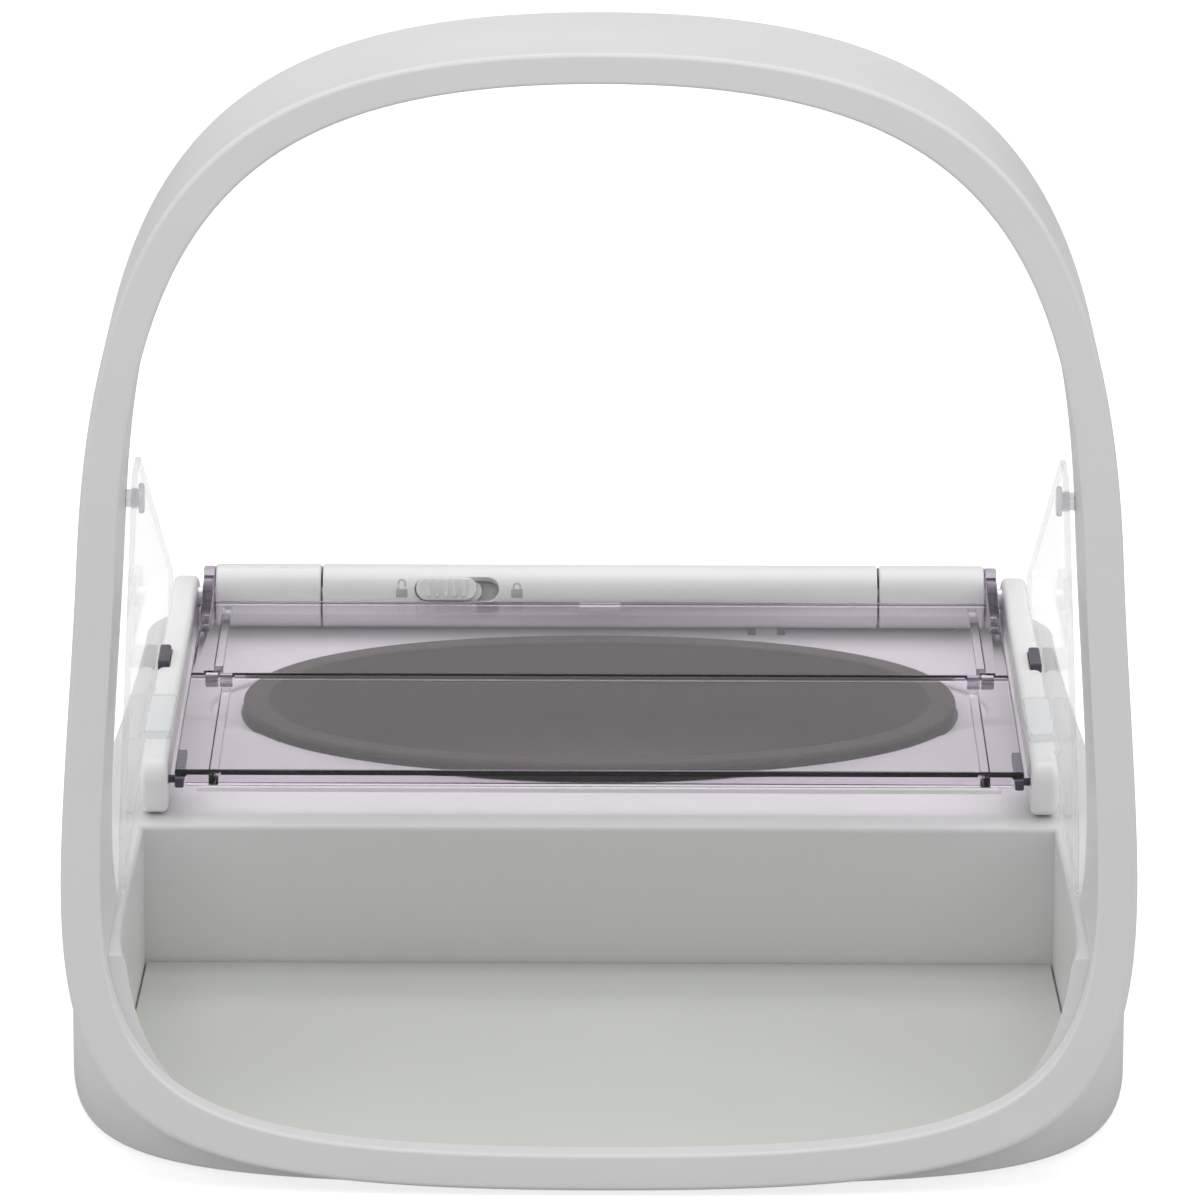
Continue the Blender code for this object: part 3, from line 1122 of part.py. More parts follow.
def build_rear_cover():
    bottom = DECK_HEIGHT + CLEARANCE
    half = POD_INNER - COVER_GAP
    cover = outline_solid("rear_cover", housing_outline(0, bottom), 'YZ', -half, half, WHITE_TRIM)
    limit = smooth_solid("rear_cover_limit", [footprint_knots(0, 0, CLEARANCE)], 'XY', 0,
                         AXIS_HEIGHT * 2)
    boolean(cover, limit, 'INTERSECT')
    recess = BARREL_RADIUS + RUNNING_GAP
    axis = (AXIS_DEPTH, AXIS_HEIGHT)
    hollow = outline_solid("housing_hollow", housing_outline(HOUSING_WALL, bottom - OVERRUN), 'YZ',
                           -half + HOUSING_WALL, half - HOUSING_WALL)
    guard_back = AXIS_DEPTH + recess + HOUSING_WALL
    for side, sign in SIDES:
        low, high = span(sign, HALF_CENTRE - HOUSING_WALL, BASE_WIDTH)
        cut(hollow, box("hollow_guard_" + side, (low, 0, -OVERRUN), (high, guard_back, AXIS_HEIGHT * 2)))
    corner = smooth_solid("hollow_limit", [footprint_knots(HOUSING_WALL, 0, HOLLOW_BACK_INSET)], 'XY',
                          -OVERRUN, AXIS_HEIGHT * 2)
    boolean(hollow, corner, 'INTERSECT')
    for side, sign in SIDES:
        low, high = span(sign, HALF_CENTRE, half + OVERRUN)
        cut(cover, box("sleeve_front_" + side, (low, 0, 0), (high, AXIS_DEPTH + recess / 2, AXIS_HEIGHT)))
        cut(cover, rod("sleeve_recess_" + side, (low, *axis), (high, *axis), recess))
    cut(cover, hollow)
    cut(cover, rod("cover_shaft_bore", (-HALF_CENTRE - OVERRUN / 2, *axis), (HALF_CENTRE + OVERRUN / 2, *axis),
                   SHAFT_RADIUS + SHAFT_FIT))
    gear_reach = GEAR_MODULE * (OUTPUT_TEETH / 2 + GEAR_ADDENDUM_SHARE) + RUNNING_GAP
    half_window = GEAR_WIDTH / 2 + RUNNING_GAP
    cut(cover, rod("gear_window", (GEAR_CENTRE - half_window, *output_centre()),
                   (GEAR_CENTRE + half_window, *output_centre()), gear_reach))
    slot_low = SLOT_CENTRE - SLOT_WIDTH / 2
    cut(cover, arc_band("slider_slot", BARREL_RADIUS - WALL_CUT, BARREL_RADIUS + HOUSING_WALL,
                        SLOT_UPPER_ANGLE, SLOT_LOWER_ANGLE, slot_low, slot_low + SLOT_WIDTH))
    catch_front = AXIS_DEPTH - BARREL_RADIUS - CATCH_DEPTH / 2
    catch_top = PLATE_BOTTOM - RUNNING_GAP
    join(cover, box("lid_catch", (-CATCH_WIDTH / 2, catch_front, catch_top - CATCH_THICKNESS),
                    (CATCH_WIDTH / 2, catch_front + CATCH_DEPTH, catch_top)))
    build_buttons(cover)
    return cover


def slope_rod(name, across, low, high, radius, material=None, steps=SMALL_ROUND_STEPS):
    return rod(name, (across, *slope_point(BUTTON_SETBACK, low)), (across, *slope_point(BUTTON_SETBACK, high)),
               radius, material, steps=steps)


def build_buttons(cover):
    lip_top = -HOUSING_WALL - CLEARANCE
    for name, across in (("button_add_pet", -BUTTON_SPACING / 2), ("button_open_close", BUTTON_SPACING / 2)):
        cut(cover, slope_rod(name + "_hole", across, -WALL_CUT, OVERRUN, BUTTON_RADIUS + CLEARANCE))
        button = slope_rod(name, across, lip_top - BUTTON_LIP_THICKNESS / 2, BUTTON_PROUD, BUTTON_RADIUS,
                           WHITE_TRIM)
        join(button, slope_rod(name + "_lip", across, lip_top - BUTTON_LIP_THICKNESS, lip_top,
                               BUTTON_RADIUS + BUTTON_LIP))
        join(button, slope_rod(name + "_stem", across, -BUTTON_STEM_LENGTH, lip_top, BUTTON_STEM_RADIUS))
        moved_origin(button, (across, *slope_point(BUTTON_SETBACK, 0)))
    lens_hole = LENS_RADIUS + CLEARANCE
    cut(cover, slope_rod("lens_hole", 0, -WALL_CUT, OVERRUN, lens_hole))
    slope_rod("status_lens", 0, -HOUSING_WALL, CLEARANCE, LENS_RADIUS, STATUS_LENS)


def build_lock_slider():
    length = SLOT_WIDTH - SLIDER_TRAVEL - CLEARANCE * 2
    low = SLOT_CENTRE - SLOT_WIDTH / 2 + CLEARANCE
    high = low + length
    margin = SLIDER_MARGIN / BARREL_RADIUS
    inner = BARREL_RADIUS - HOUSING_WALL - CLEARANCE
    start = SLOT_UPPER_ANGLE + margin
    end = SLOT_LOWER_ANGLE - margin
    face = BARREL_RADIUS + SLIDER_PROUD
    slider = arc_band("lock_slider", inner - SLIDER_FLANGE_THICKNESS / 2, face, start, end, low, high, WHITE_TRIM)
    spread = SLIDER_FLANGE / BARREL_RADIUS
    join(slider, arc_band("slider_flange", inner - SLIDER_FLANGE_THICKNESS, inner, start - spread, end + spread,
                          low - SLIDER_FLANGE, high + SLIDER_FLANGE))
    for index in range(RIDGE_COUNT):
        middle = (low + high) / 2 + (index - (RIDGE_COUNT - 1) / 2) * length / (RIDGE_COUNT + 1)
        join(slider, arc_band("slider_ridge_" + str(index), BARREL_RADIUS, face + RIDGE_RADIUS,
                              start + spread, end - spread, middle - RIDGE_RADIUS, middle + RIDGE_RADIUS))
    return moved_origin(slider, (low, AXIS_DEPTH, AXIS_HEIGHT))


# Drive: shaft and gears, geared motor, and the circuit board


def gear_outline(centre, teeth, phase):
    pitch = math.pi * 2 / teeth
    radius = GEAR_MODULE * teeth / 2
    tip = radius + GEAR_MODULE * GEAR_ADDENDUM_SHARE
    root = radius - GEAR_MODULE * GEAR_DEDENDUM_SHARE
    points = []
    for tooth in range(teeth):
        middle = phase + tooth * pitch
        for reach, offset in ((root, -TOOTH_ROOT_SHARE), (tip, -TOOTH_TIP_SHARE), (tip, TOOTH_TIP_SHARE),
                              (root, TOOTH_ROOT_SHARE)):
            angle = middle + offset * pitch / 2
            points.append((centre[0] + reach * math.cos(angle), centre[1] + reach * math.sin(angle)))
    return points


def output_centre():
    distance = GEAR_MODULE * (DRIVE_TEETH + OUTPUT_TEETH) / 2
    drop = math.sqrt(distance ** 2 - GEAR_SETBACK ** 2)
    return AXIS_DEPTH + GEAR_SETBACK, AXIS_HEIGHT - drop


def build_drive():
    axis = (AXIS_DEPTH, AXIS_HEIGHT)
    centre = output_centre()
    towards = math.atan2(centre[1] - axis[1], centre[0] - axis[0])
    shaft_end = POD_INNER + POD_WIDTH / 2
    shaft = rod("hinge_shaft", (-shaft_end, *axis), (shaft_end, *axis), SHAFT_RADIUS, STEEL)
    moved_origin(shaft, (0, *axis))
    low = GEAR_CENTRE - GEAR_WIDTH / 2
    high = GEAR_CENTRE + GEAR_WIDTH / 2
    drive = outline_solid("drive_gear", gear_outline(axis, DRIVE_TEETH, towards), 'YZ', low, high, GEAR_NYLON)
    cut(drive, rod("drive_gear_bore", (low - OVERRUN, *axis), (high + OVERRUN, *axis), SHAFT_RADIUS + SHAFT_FIT))
    moved_origin(drive, (GEAR_CENTRE, *axis))
    half_pitch = math.pi / OUTPUT_TEETH
    output_teeth = gear_outline(centre, OUTPUT_TEETH, towards + math.pi + half_pitch)
    output = outline_solid("output_gear", output_teeth, 'YZ', low, high, GEAR_NYLON)
    cut(output, rod("output_gear_bore", (low - OVERRUN, *centre), (high + OVERRUN, *centre),
                    OUTPUT_SHAFT_RADIUS + SHAFT_FIT))
    moved_origin(output, (GEAR_CENTRE, *centre))
    case_start = MOTOR_START
    motor = rod("gear_motor", (case_start, *centre), (case_start + GEARBOX_LENGTH, *centre), MOTOR_DIAMETER / 2,
                MOTOR_CASE)
    can_radius = MOTOR_DIAMETER / 2 - HOUSING_WALL / 2
    join(motor, rod("motor_can", (case_start + GEARBOX_LENGTH - CLEARANCE, *centre),
                    (case_start + GEARBOX_LENGTH + MOTOR_LENGTH, *centre), can_radius))
    bore_end = case_start + GEARBOX_LENGTH / 2
    cut(motor, rod("motor_bore", (case_start - OVERRUN, *centre), (bore_end, *centre),
                   OUTPUT_SHAFT_RADIUS + SHAFT_FIT))
    output_shaft = rod("output_shaft", (low, *centre), (bore_end - CLEARANCE, *centre), OUTPUT_SHAFT_RADIUS, STEEL)
    moved_origin(output_shaft, (GEAR_CENTRE, *centre))
    return centre, case_start


def build_cradles(panel, centre, case_start):
    # Two saddles on the floor panel carry the motor's can
    first = case_start + GEARBOX_LENGTH + CRADLE_THICKNESS
    for index in range(2):
        low = first + index * (MOTOR_LENGTH - CRADLE_END_ROOM)
        cradle = box("motor_cradle_" + str(index), (low, centre[0] - MOTOR_DIAMETER / 2, PANEL_TOP - CLEARANCE),
                     (low + CRADLE_THICKNESS, centre[0] + MOTOR_DIAMETER / 2, centre[1]))
        cut(cradle, rod("cradle_seat_" + str(index), (low - OVERRUN, *centre), (low + OVERRUN, *centre),
                        MOTOR_DIAMETER / 2 - HOUSING_WALL / 2 + CLEARANCE))
        join(panel, cradle)


def build_board(panel):
    back = CAVITY_BACK - BOARD_BACK_GAP
    low = BOARD_CENTRE - BOARD_LENGTH / 2
    high = BOARD_CENTRE + BOARD_LENGTH / 2
    front = back - BOARD_WIDTH
    top = BOARD_HEIGHT + BOARD_THICKNESS
    board = box("circuit_board", (low, front, BOARD_HEIGHT), (high, back, top), BOARD_GREEN)
    half = SWITCH_SIZE / 2
    stem_foot = slope_point(BUTTON_SETBACK, -BUTTON_STEM_LENGTH)[0]
    for tag, across in (("left", -BUTTON_SPACING / 2), ("right", BUTTON_SPACING / 2)):
        join(board, box("switch_" + tag, (across - half, stem_foot - half, top - CLEARANCE),
                        (across + half, stem_foot + half, top + SWITCH_HEIGHT)))
    for index, across in enumerate((low + POST_INSET, high - POST_INSET)):
        for row, depth in enumerate((front + POST_INSET, back - POST_INSET)):
            join(panel, rod("board_post_" + str(index) + str(row), (across, depth, PANEL_TOP - CLEARANCE),
                            (across, depth, BOARD_HEIGHT - CLEARANCE), POST_RADIUS, steps=SMALL_ROUND_STEPS))


def centre_on_footprint():
    # The whole feeder moves forward so that the middle of its length stands at Y zero
    front = FOOT_STAND * TILT_RUN
    shift = Vector((0, (front + BASE_DEPTH) / -2, 0))
    for collection in (FEEDER, CUTTERS):
        for body in collection.objects:
            body.location += shift


def main():
    hoop = build_hoop()
    shell = build_base()
    panel = build_underside(shell)
    build_cells()
    build_bowl()
    build_mat()
    build_lid()
    for side, sign in SIDES:
        build_pod(side, sign)
        build_shield(hoop, side, sign)
    build_rear_cover()
    build_lock_slider()
    centre, case_start = build_drive()
    build_cradles(panel, centre, case_start)
    build_board(panel)
    centre_on_footprint()


main()
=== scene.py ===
"""Dressed model of a hooped pet feeder with a folding clear lid: its surfaces, finishes, light and camera."""

import json
import logging
import math
from dataclasses import dataclass, field
from enum import Enum

import bmesh
import bpy
import numpy as np
from mathutils import Matrix, Vector

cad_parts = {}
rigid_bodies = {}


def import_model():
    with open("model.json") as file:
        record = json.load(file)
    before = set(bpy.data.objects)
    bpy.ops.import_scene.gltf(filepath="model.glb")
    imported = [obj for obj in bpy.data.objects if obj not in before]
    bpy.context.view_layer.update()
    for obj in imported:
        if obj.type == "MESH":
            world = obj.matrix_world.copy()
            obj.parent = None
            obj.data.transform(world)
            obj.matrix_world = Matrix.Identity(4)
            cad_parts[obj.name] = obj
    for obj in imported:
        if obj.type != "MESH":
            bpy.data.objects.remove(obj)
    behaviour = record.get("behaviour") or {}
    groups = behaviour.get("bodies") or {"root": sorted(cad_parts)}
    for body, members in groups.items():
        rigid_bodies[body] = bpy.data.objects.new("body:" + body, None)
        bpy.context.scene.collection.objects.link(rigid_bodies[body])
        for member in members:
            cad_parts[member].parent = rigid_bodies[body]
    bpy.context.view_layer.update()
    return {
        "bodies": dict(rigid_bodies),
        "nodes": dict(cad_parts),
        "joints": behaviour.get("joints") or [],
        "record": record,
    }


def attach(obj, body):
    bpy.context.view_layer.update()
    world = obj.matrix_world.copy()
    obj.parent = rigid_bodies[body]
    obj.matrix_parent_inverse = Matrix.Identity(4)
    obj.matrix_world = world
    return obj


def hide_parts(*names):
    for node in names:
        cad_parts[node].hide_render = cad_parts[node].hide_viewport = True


LOG = logging.getLogger("pet_feeder")
Point = tuple[float, float, float]
Colour = tuple[float, float, float]


class Body(Enum):
    """The moving bodies that pieces ride on."""

    HOUSING = "housing"
    LID_REAR = "lid_rear"
    LID_FRONT = "lid_front"
    LOCK = "lock"
    ADD_PET_KEY = "add_pet_key"
    OPEN_CLOSE_KEY = "open_close_key"
    BOWL = "lift_out_bowl"
    MAT = "lift_out_mat"


class Side(Enum):
    """The two sides of the feeder, as signs of X."""

    LEFT = -1
    RIGHT = 1

    @property
    def tag(self) -> str:
        """The side's word in piece and node names."""
        return self.name.lower()

    def span(self, inner: float, outer: float) -> tuple[float, float]:
        """The low and the high X of what reaches from one distance beside the middle to another."""
        low, high = sorted((self.value * inner, self.value * outer))
        return low, high


# Nodes

Inputs = dict[str | int, object]


def feed(tree: bpy.types.NodeTree, node: bpy.types.Node, inputs: Inputs) -> None:
    """Sets inputs of a node to plain values, or links them from sockets.

    Args:
        tree: the material's or the world's nodes.
        node: the node.
        inputs: a value or a socket for each input.
    """
    for key, value in inputs.items():
        if isinstance(value, bpy.types.NodeSocket):
            tree.links.new(value, node.inputs[key])
        else:
            node.inputs[key].default_value = value


def add_node(
    tree: bpy.types.NodeTree, kind: str, inputs: Inputs | None = None, **settings: str
) -> bpy.types.Node:
    """Adds a node.

    Args:
        tree: the material's or the world's nodes.
        kind: the end of the node type's name.
        inputs: a value or a socket for each input.
        settings: the node's own choices, which are made before its inputs are set.

    Returns:
        The node.
    """
    node = tree.nodes.new(f"ShaderNode{kind}")
    for name, choice in settings.items():
        setattr(node, name, choice)
    feed(tree, node, inputs or {})
    return node


def noise(
    tree: bpy.types.NodeTree, scale: float, detail: float, stretch: Point = (1, 1, 1)
) -> bpy.types.NodeSocket:
    """Three-dimensional noise on the piece's own coordinates.

    Args:
        tree: the material's nodes.
        scale: cycles per metre.
        detail: octaves of the noise.
        stretch: scale along each axis before the noise.

    Returns:
        The noise's value, 0 to 1.
    """
    place = add_node(tree, "TexCoord").outputs["Object"]
    vector = add_node(tree, "Mapping", {"Vector": place, "Scale": stretch}).outputs["Vector"]
    return add_node(tree, "TexNoise", {"Vector": vector, "Scale": scale, "Detail": detail}).outputs["Fac"]


def between(
    tree: bpy.types.NodeTree, value: bpy.types.NodeSocket, low: float, high: float
) -> bpy.types.NodeSocket:
    """Maps a noise value, most of which lies from 0.25 to 0.75, to the range low to high.

    Args:
        tree: the material's nodes.
        value: the value to map.
        low: the result at 0.25.
        high: the result at 0.75.

    Returns:
        The mapped value.
    """
    inputs = {"Value": value, "From Min": 0.25, "From Max": 0.75, "To Min": low, "To Max": high}
    return add_node(tree, "MapRange", inputs).outputs["Result"]


def blend_colours(
    tree: bpy.types.NodeTree, share: bpy.types.NodeSocket, first: Colour, second: Colour
) -> bpy.types.NodeSocket:
    """Mixes two colours by a share.

    Args:
        tree: the material's nodes.
        share: 0 gives the first colour and 1 the second.
        first: the colour at 0.
        second: the colour at 1.

    Returns:
        The mixed colour.
    """
    inputs = {"Factor": share, "A": (*first, 1.0), "B": (*second, 1.0)}
    return add_node(tree, "Mix", inputs, data_type="RGBA").outputs["Result"]


def add_bump(
    tree: bpy.types.NodeTree, shader: bpy.types.Node, height: bpy.types.NodeSocket, strength: float, depth: float
) -> None:
    """Gives the shader a bump from a height.

    Args:
        tree: the material's nodes.
        shader: the Principled node.
        height: the height value.
        strength: share of the bump that is used.
        depth: metres that the height stands for.
    """
    bump = add_node(tree, "Bump", {"Height": height, "Strength": strength, "Distance": depth})
    feed(tree, shader, {"Normal": bump.outputs["Normal"]})


def shaded(colour: Colour, share: float) -> Colour:
    """The colour made that share darker, or lighter with a negative share."""
    return tuple(min(1.0, value * (1.0 - share)) for value in colour)


# Finishes


@dataclass(frozen=True)
class Finish:
    """A finish as one node material, built once and shared by the pieces that take it."""

    name: str
    colour: Colour
    roughness: float = 0.4

    def build(self) -> bpy.types.Material:
        """Makes the material, or returns the one made before.

        Returns:
            The finish's material.
        """
        material = bpy.data.materials.get(self.name)
        if material is None:
            material = bpy.data.materials.new(self.name)
            material.use_nodes = True
            material.diffuse_color = (*self.colour, 1.0)
            tree = material.node_tree
            shader = tree.nodes["Principled BSDF"]
            feed(tree, shader, {"Base Color": (*self.colour, 1.0), "Roughness": self.roughness})
            self.detail(tree, shader)
        return material

    def detail(self, tree: bpy.types.NodeTree, shader: bpy.types.Node) -> None:
        """Adds the finish's own detail to its shader; a plain finish has none."""


@dataclass(frozen=True)
class MouldedPlastic(Finish):
    """Opaque moulded plastic: a fine spark-eroded grain, broad tone drift and uneven gloss."""

    grain: float = 5200.0
    grain_depth: float = 0.00002
    drift: float = 0.02
    gloss_drift: float = 0.06
    glow: float = 0.0
    mirror: float = 0.5
    grain_share: float = 0.25
    drift_scale: float = 26.0
    index: float = 1.5
    glow_reach: float = 0.004

    def detail(self, tree: bpy.types.NodeTree, shader: bpy.types.Node) -> None:
        """Grain as bump, slow tone drift in the colour, and a broad gloss change in the roughness.

        Args:
            tree: the material's nodes.
            shader: the Principled node.
        """
        broad = noise(tree, self.drift_scale, 3.0)
        dark, light = shaded(self.colour, self.drift), shaded(self.colour, -self.drift)
        smooth, rough = self.roughness - self.gloss_drift, self.roughness + self.gloss_drift
        feed(tree, shader, {
            "Base Color": blend_colours(tree, broad, dark, light),
            "Roughness": between(tree, broad, smooth, rough),
            "IOR": self.index,
            "Specular IOR Level": self.mirror,
            "Subsurface Weight": self.glow,
            "Subsurface Radius": (self.glow_reach, self.glow_reach, self.glow_reach),
        })
        add_bump(tree, shader, noise(tree, self.grain, 2.0), self.grain_share, self.grain_depth)


@dataclass(frozen=True)
class ClearPlastic(Finish):
    """Clear tinted plastic that reflects and refracts, with faint flow waves, and throws only a faint shadow."""

    shadow: float = 0.10
    wave: float = 0.000004
    haze: float = 0.0
    index: float = 1.49
    cover: float = 1.0
    flow_scale: float = 60.0
    flow_stretch: Point = (1.0, 0.3, 1.0)
    flow_share: float = 0.3
    gloss_scale: float = 300.0
    gloss_drift: float = 0.03

    def detail(self, tree: bpy.types.NodeTree, shader: bpy.types.Node) -> None:
        """A transmitting shader whose alpha drops for shadow rays, with moulding flow as a very shallow bump.

        Args:
            tree: the material's nodes.
            shader: the Principled node.
        """
        shadow_ray = add_node(tree, "LightPath").outputs["Is Shadow Ray"]
        solid = add_node(tree, "MapRange", {"Value": shadow_ray, "To Min": self.cover, "To Max": self.shadow})
        uneven = noise(tree, self.gloss_scale, 2.0)
        feed(tree, shader, {
            "Transmission Weight": 1.0 - self.haze,
            "IOR": self.index,
            "Alpha": solid.outputs["Result"],
            "Roughness": between(tree, uneven, self.roughness, self.roughness + self.gloss_drift),
        })
        add_bump(tree, shader, noise(tree, self.flow_scale, 2.0, self.flow_stretch), self.flow_share, self.wave)


@dataclass(frozen=True)
class Metal(Finish):
    """Bare metal with a drawn or ground grain along one axis."""

    grain: float = 9000.0
    grain_along: Point = (0.05, 1.0, 1.0)
    grain_share: float = 0.2
    grain_depth: float = 0.00001
    polished: float = 0.08
    worn: float = 0.12

    def detail(self, tree: bpy.types.NodeTree, shader: bpy.types.Node) -> None:
        """Fine stretched noise in the roughness and as a shallow bump.

        Args:
            tree: the material's nodes.
            shader: the Principled node.
        """
        grain = noise(tree, self.grain, 3.0, self.grain_along)
        gloss = between(tree, grain, self.roughness - self.polished, self.roughness + self.worn)
        feed(tree, shader, {"Metallic": 1.0, "Roughness": gloss})
        add_bump(tree, shader, grain, self.grain_share, self.grain_depth)


@dataclass(frozen=True)
class Laminate(Finish):
    """Solder-masked board with copper tracks that show through the mask."""

    track: Colour = (0.10, 0.36, 0.18)
    track_scale: float = 160.0
    track_width: float = 0.06
    mask_change: float = 0.15

    def detail(self, tree: bpy.types.NodeTree, shader: bpy.types.Node) -> None:
        """A brick pattern stands for the runs of tracks under the mask.

        Args:
            tree: the material's nodes.
            shader: the Principled node.
        """
        bricks = add_node(tree, "TexBrick", {
            "Vector": add_node(tree, "TexCoord").outputs["Object"],
            "Scale": self.track_scale,
            "Mortar Size": self.track_width,
            "Color1": (*self.colour, 1.0),
            "Color2": (*shaded(self.colour, self.mask_change), 1.0),
            "Mortar": (*self.track, 1.0),
        })
        feed(tree, shader, {"Base Color": bricks.outputs["Color"]})


@dataclass(frozen=True)
class Finishes:
    """Every finish of the feeder by its use."""

    shell: Finish = MouldedPlastic("finish_white_shell", (0.80, 0.795, 0.80), 0.36)
    trim: Finish = MouldedPlastic("finish_white_trim", (0.89, 0.885, 0.89), 0.32)
    mat: Finish = MouldedPlastic("finish_pale_mat", (0.66, 0.675, 0.64), 0.62, 2600.0, 0.00005, 0.025)
    bowl: Finish = MouldedPlastic(
        "finish_grey_bowl", (0.058, 0.047, 0.038), 0.60, 4200.0, 0.00003, 0.06, mirror=0.22
    )
    lid: Finish = ClearPlastic("finish_clear_lid", (0.785, 0.745, 0.795), 0.01, 0.30, index=1.18)
    lid_wall: Finish = ClearPlastic("finish_lid_wall", (0.80, 0.72, 0.82), 0.04, 0.20)
    # Near-black tint for the lid panels' small rounds and outer side faces: painted shade for the dark lines along
    # the panels' edges.
    lid_painted_edge_shade: Finish = ClearPlastic("finish_lid_painted_edge_shade", (0.10, 0.06, 0.11), 0.10, 0.40)
    lid_hub: Finish = ClearPlastic("finish_lid_hub", (0.70, 0.63, 0.73), 0.22, 0.30, haze=0.7)
    shield: Finish = ClearPlastic("finish_clear_shield", (0.98, 0.975, 0.99), 0.01, 0.05, cover=0.35)
    shield_edge: Finish = ClearPlastic(
        "finish_shield_edge", (0.94, 0.92, 0.96), 0.12, 0.15, haze=0.75, cover=0.45
    )
    bracket: Finish = ClearPlastic("finish_bracket", (0.93, 0.95, 0.96), 0.10, 0.25, haze=0.35)
    rubber: Finish = MouldedPlastic("finish_dark_rubber", (0.045, 0.045, 0.05), 0.72, 1800.0, 0.00006, 0.10)
    peg: Finish = MouldedPlastic("finish_dark_peg", (0.07, 0.055, 0.08), 0.38)
    stud: Finish = ClearPlastic("finish_clear_stud", (0.88, 0.87, 0.91), 0.12, 0.2, haze=0.6, cover=0.6)
    print_grey: Finish = MouldedPlastic("finish_print_grey", (0.52, 0.52, 0.52), 0.5)
    # Near-black painted shade: the strip on the long groove's floor stands in for the shade inside the groove.
    groove: Finish = MouldedPlastic("finish_groove_painted_shade", (0.12, 0.11, 0.12), 0.6)
    steel: Finish = Metal("finish_steel", (0.80, 0.80, 0.81), 0.42)
    brass: Finish = Metal("finish_brass", (0.72, 0.60, 0.34), 0.32)
    copper: Finish = Metal("finish_copper", (0.72, 0.38, 0.22), 0.34)
    motor: Finish = Metal("finish_motor_case", (0.34, 0.35, 0.37), 0.36)
    nylon: Finish = MouldedPlastic("finish_gear_nylon", (0.78, 0.76, 0.68), 0.5, glow=0.1)
    board: Finish = Laminate("finish_board", (0.04, 0.22, 0.10), 0.42)
    jacket: Finish = MouldedPlastic("finish_cell_jacket", (0.16, 0.18, 0.22), 0.34)
    lens: Finish = ClearPlastic("finish_status_lens", (0.75, 0.80, 0.85), 0.12, 0.3, haze=0.5)


FINISH = Finishes()

# Surfaces


def bezier(
    start: np.ndarray, leave: np.ndarray, reach: np.ndarray, end: np.ndarray, t: np.ndarray
) -> np.ndarray:
    """Cubic Bezier: (1-t)^3 start + 3(1-t)^2 t leave + 3(1-t) t^2 reach + t^3 end, for every t at once.

    Args:
        start: the first end point, shape (..., 2).
        leave: the first handle.
        reach: the second handle.
        end: the last end point.
        t: the parameters, broadcast against the points.

    Returns:
        The points of the curve.
    """
    t = np.asarray(t)[..., None]
    rest = 1.0 - t
    return rest**3 * start + 3 * rest**2 * t * leave + 3 * rest * t**2 * reach + t**3 * end


SHARP = 34.0  # degrees that an edge bends before it is shown sharp
MERGE = 2e-6  # metres between points that are made one
COLLAPSED = 1e-7  # metres below which an edge is dropped
TINY = 1e-12  # keeps lengths that are divided by above zero
FLATTEST = 0.09  # limits how far a sharp corner runs out when an outline is moved


def quarter_round(steps: int = 5) -> np.ndarray:
    """Points (1 - sin a, 1 - cos a) for a from 90 to 0 degrees: a unit fillet from a wall to a top face."""
    angle = np.linspace(np.pi / 2, 0.0, steps)
    return np.stack([1.0 - np.sin(angle), 1.0 - np.cos(angle)], axis=1)


def grid_mesh(name: str, points: np.ndarray, wrap_rows: bool = False, caps: bool = True) -> bpy.types.Mesh:
    """A closed mesh from a grid of points whose columns run round a loop.

    Args:
        name: the mesh's name.
        points: positions, shape (rows, columns, 3); the columns always wrap round.
        wrap_rows: whether the last row joins the first, as on a ring.
        caps: whether the first and last rows are closed with a face each when the rows don't wrap.

    Returns:
        The mesh, with coinciding points merged and its faces turned outwards.
    """
    rows, columns = points.shape[:2]
    index = np.arange(rows * columns).reshape(rows, columns)
    ahead = np.roll(index, -1, axis=1)
    if wrap_rows:
        low, low_ahead = index, ahead
        high, high_ahead = np.roll(index, -1, axis=0), np.roll(ahead, -1, axis=0)
    else:
        low, low_ahead, high, high_ahead = index[:-1], ahead[:-1], index[1:], ahead[1:]
    faces = np.stack([low, low_ahead, high_ahead, high], axis=-1).reshape(-1, 4).tolist()
    if caps and not wrap_rows:
        faces += [index[0][::-1].tolist(), index[-1].tolist()]
    mesh = bpy.data.meshes.new(name)
    mesh.from_pydata(points.reshape(-1, 3).tolist(), [], faces)
    tidy_mesh(mesh)
    return mesh


def tidy_mesh(mesh: bpy.types.Mesh) -> None:
    """Merges coinciding points, drops collapsed faces, turns faces outwards and sets smooth shading.

    Args:
        mesh: the mesh to tidy.
    """
    shape = bmesh.new()
    shape.from_mesh(mesh)
    bmesh.ops.remove_doubles(shape, verts=shape.verts, dist=MERGE)
    bmesh.ops.dissolve_degenerate(shape, edges=shape.edges, dist=COLLAPSED)
    bmesh.ops.recalc_face_normals(shape, faces=shape.faces)
    shape.to_mesh(mesh)
    shape.free()
    mesh.shade_smooth()
    mesh.set_sharp_from_angle(angle=math.radians(SHARP))


def joined(name: str, meshes: list[bpy.types.Mesh]) -> bpy.types.Mesh:
    """Several closed meshes as one.

    Args:
        name: the new mesh's name.
        meshes: the meshes, which are used up.

    Returns:
        The joined mesh.
    """
    shape = bmesh.new()
    for mesh in meshes:
        shape.from_mesh(mesh)
        bpy.data.meshes.remove(mesh)
    whole = bpy.data.meshes.new(name)
    shape.to_mesh(whole)
    shape.free()
    whole.shade_smooth()
    whole.set_sharp_from_angle(angle=math.radians(SHARP))
    return whole


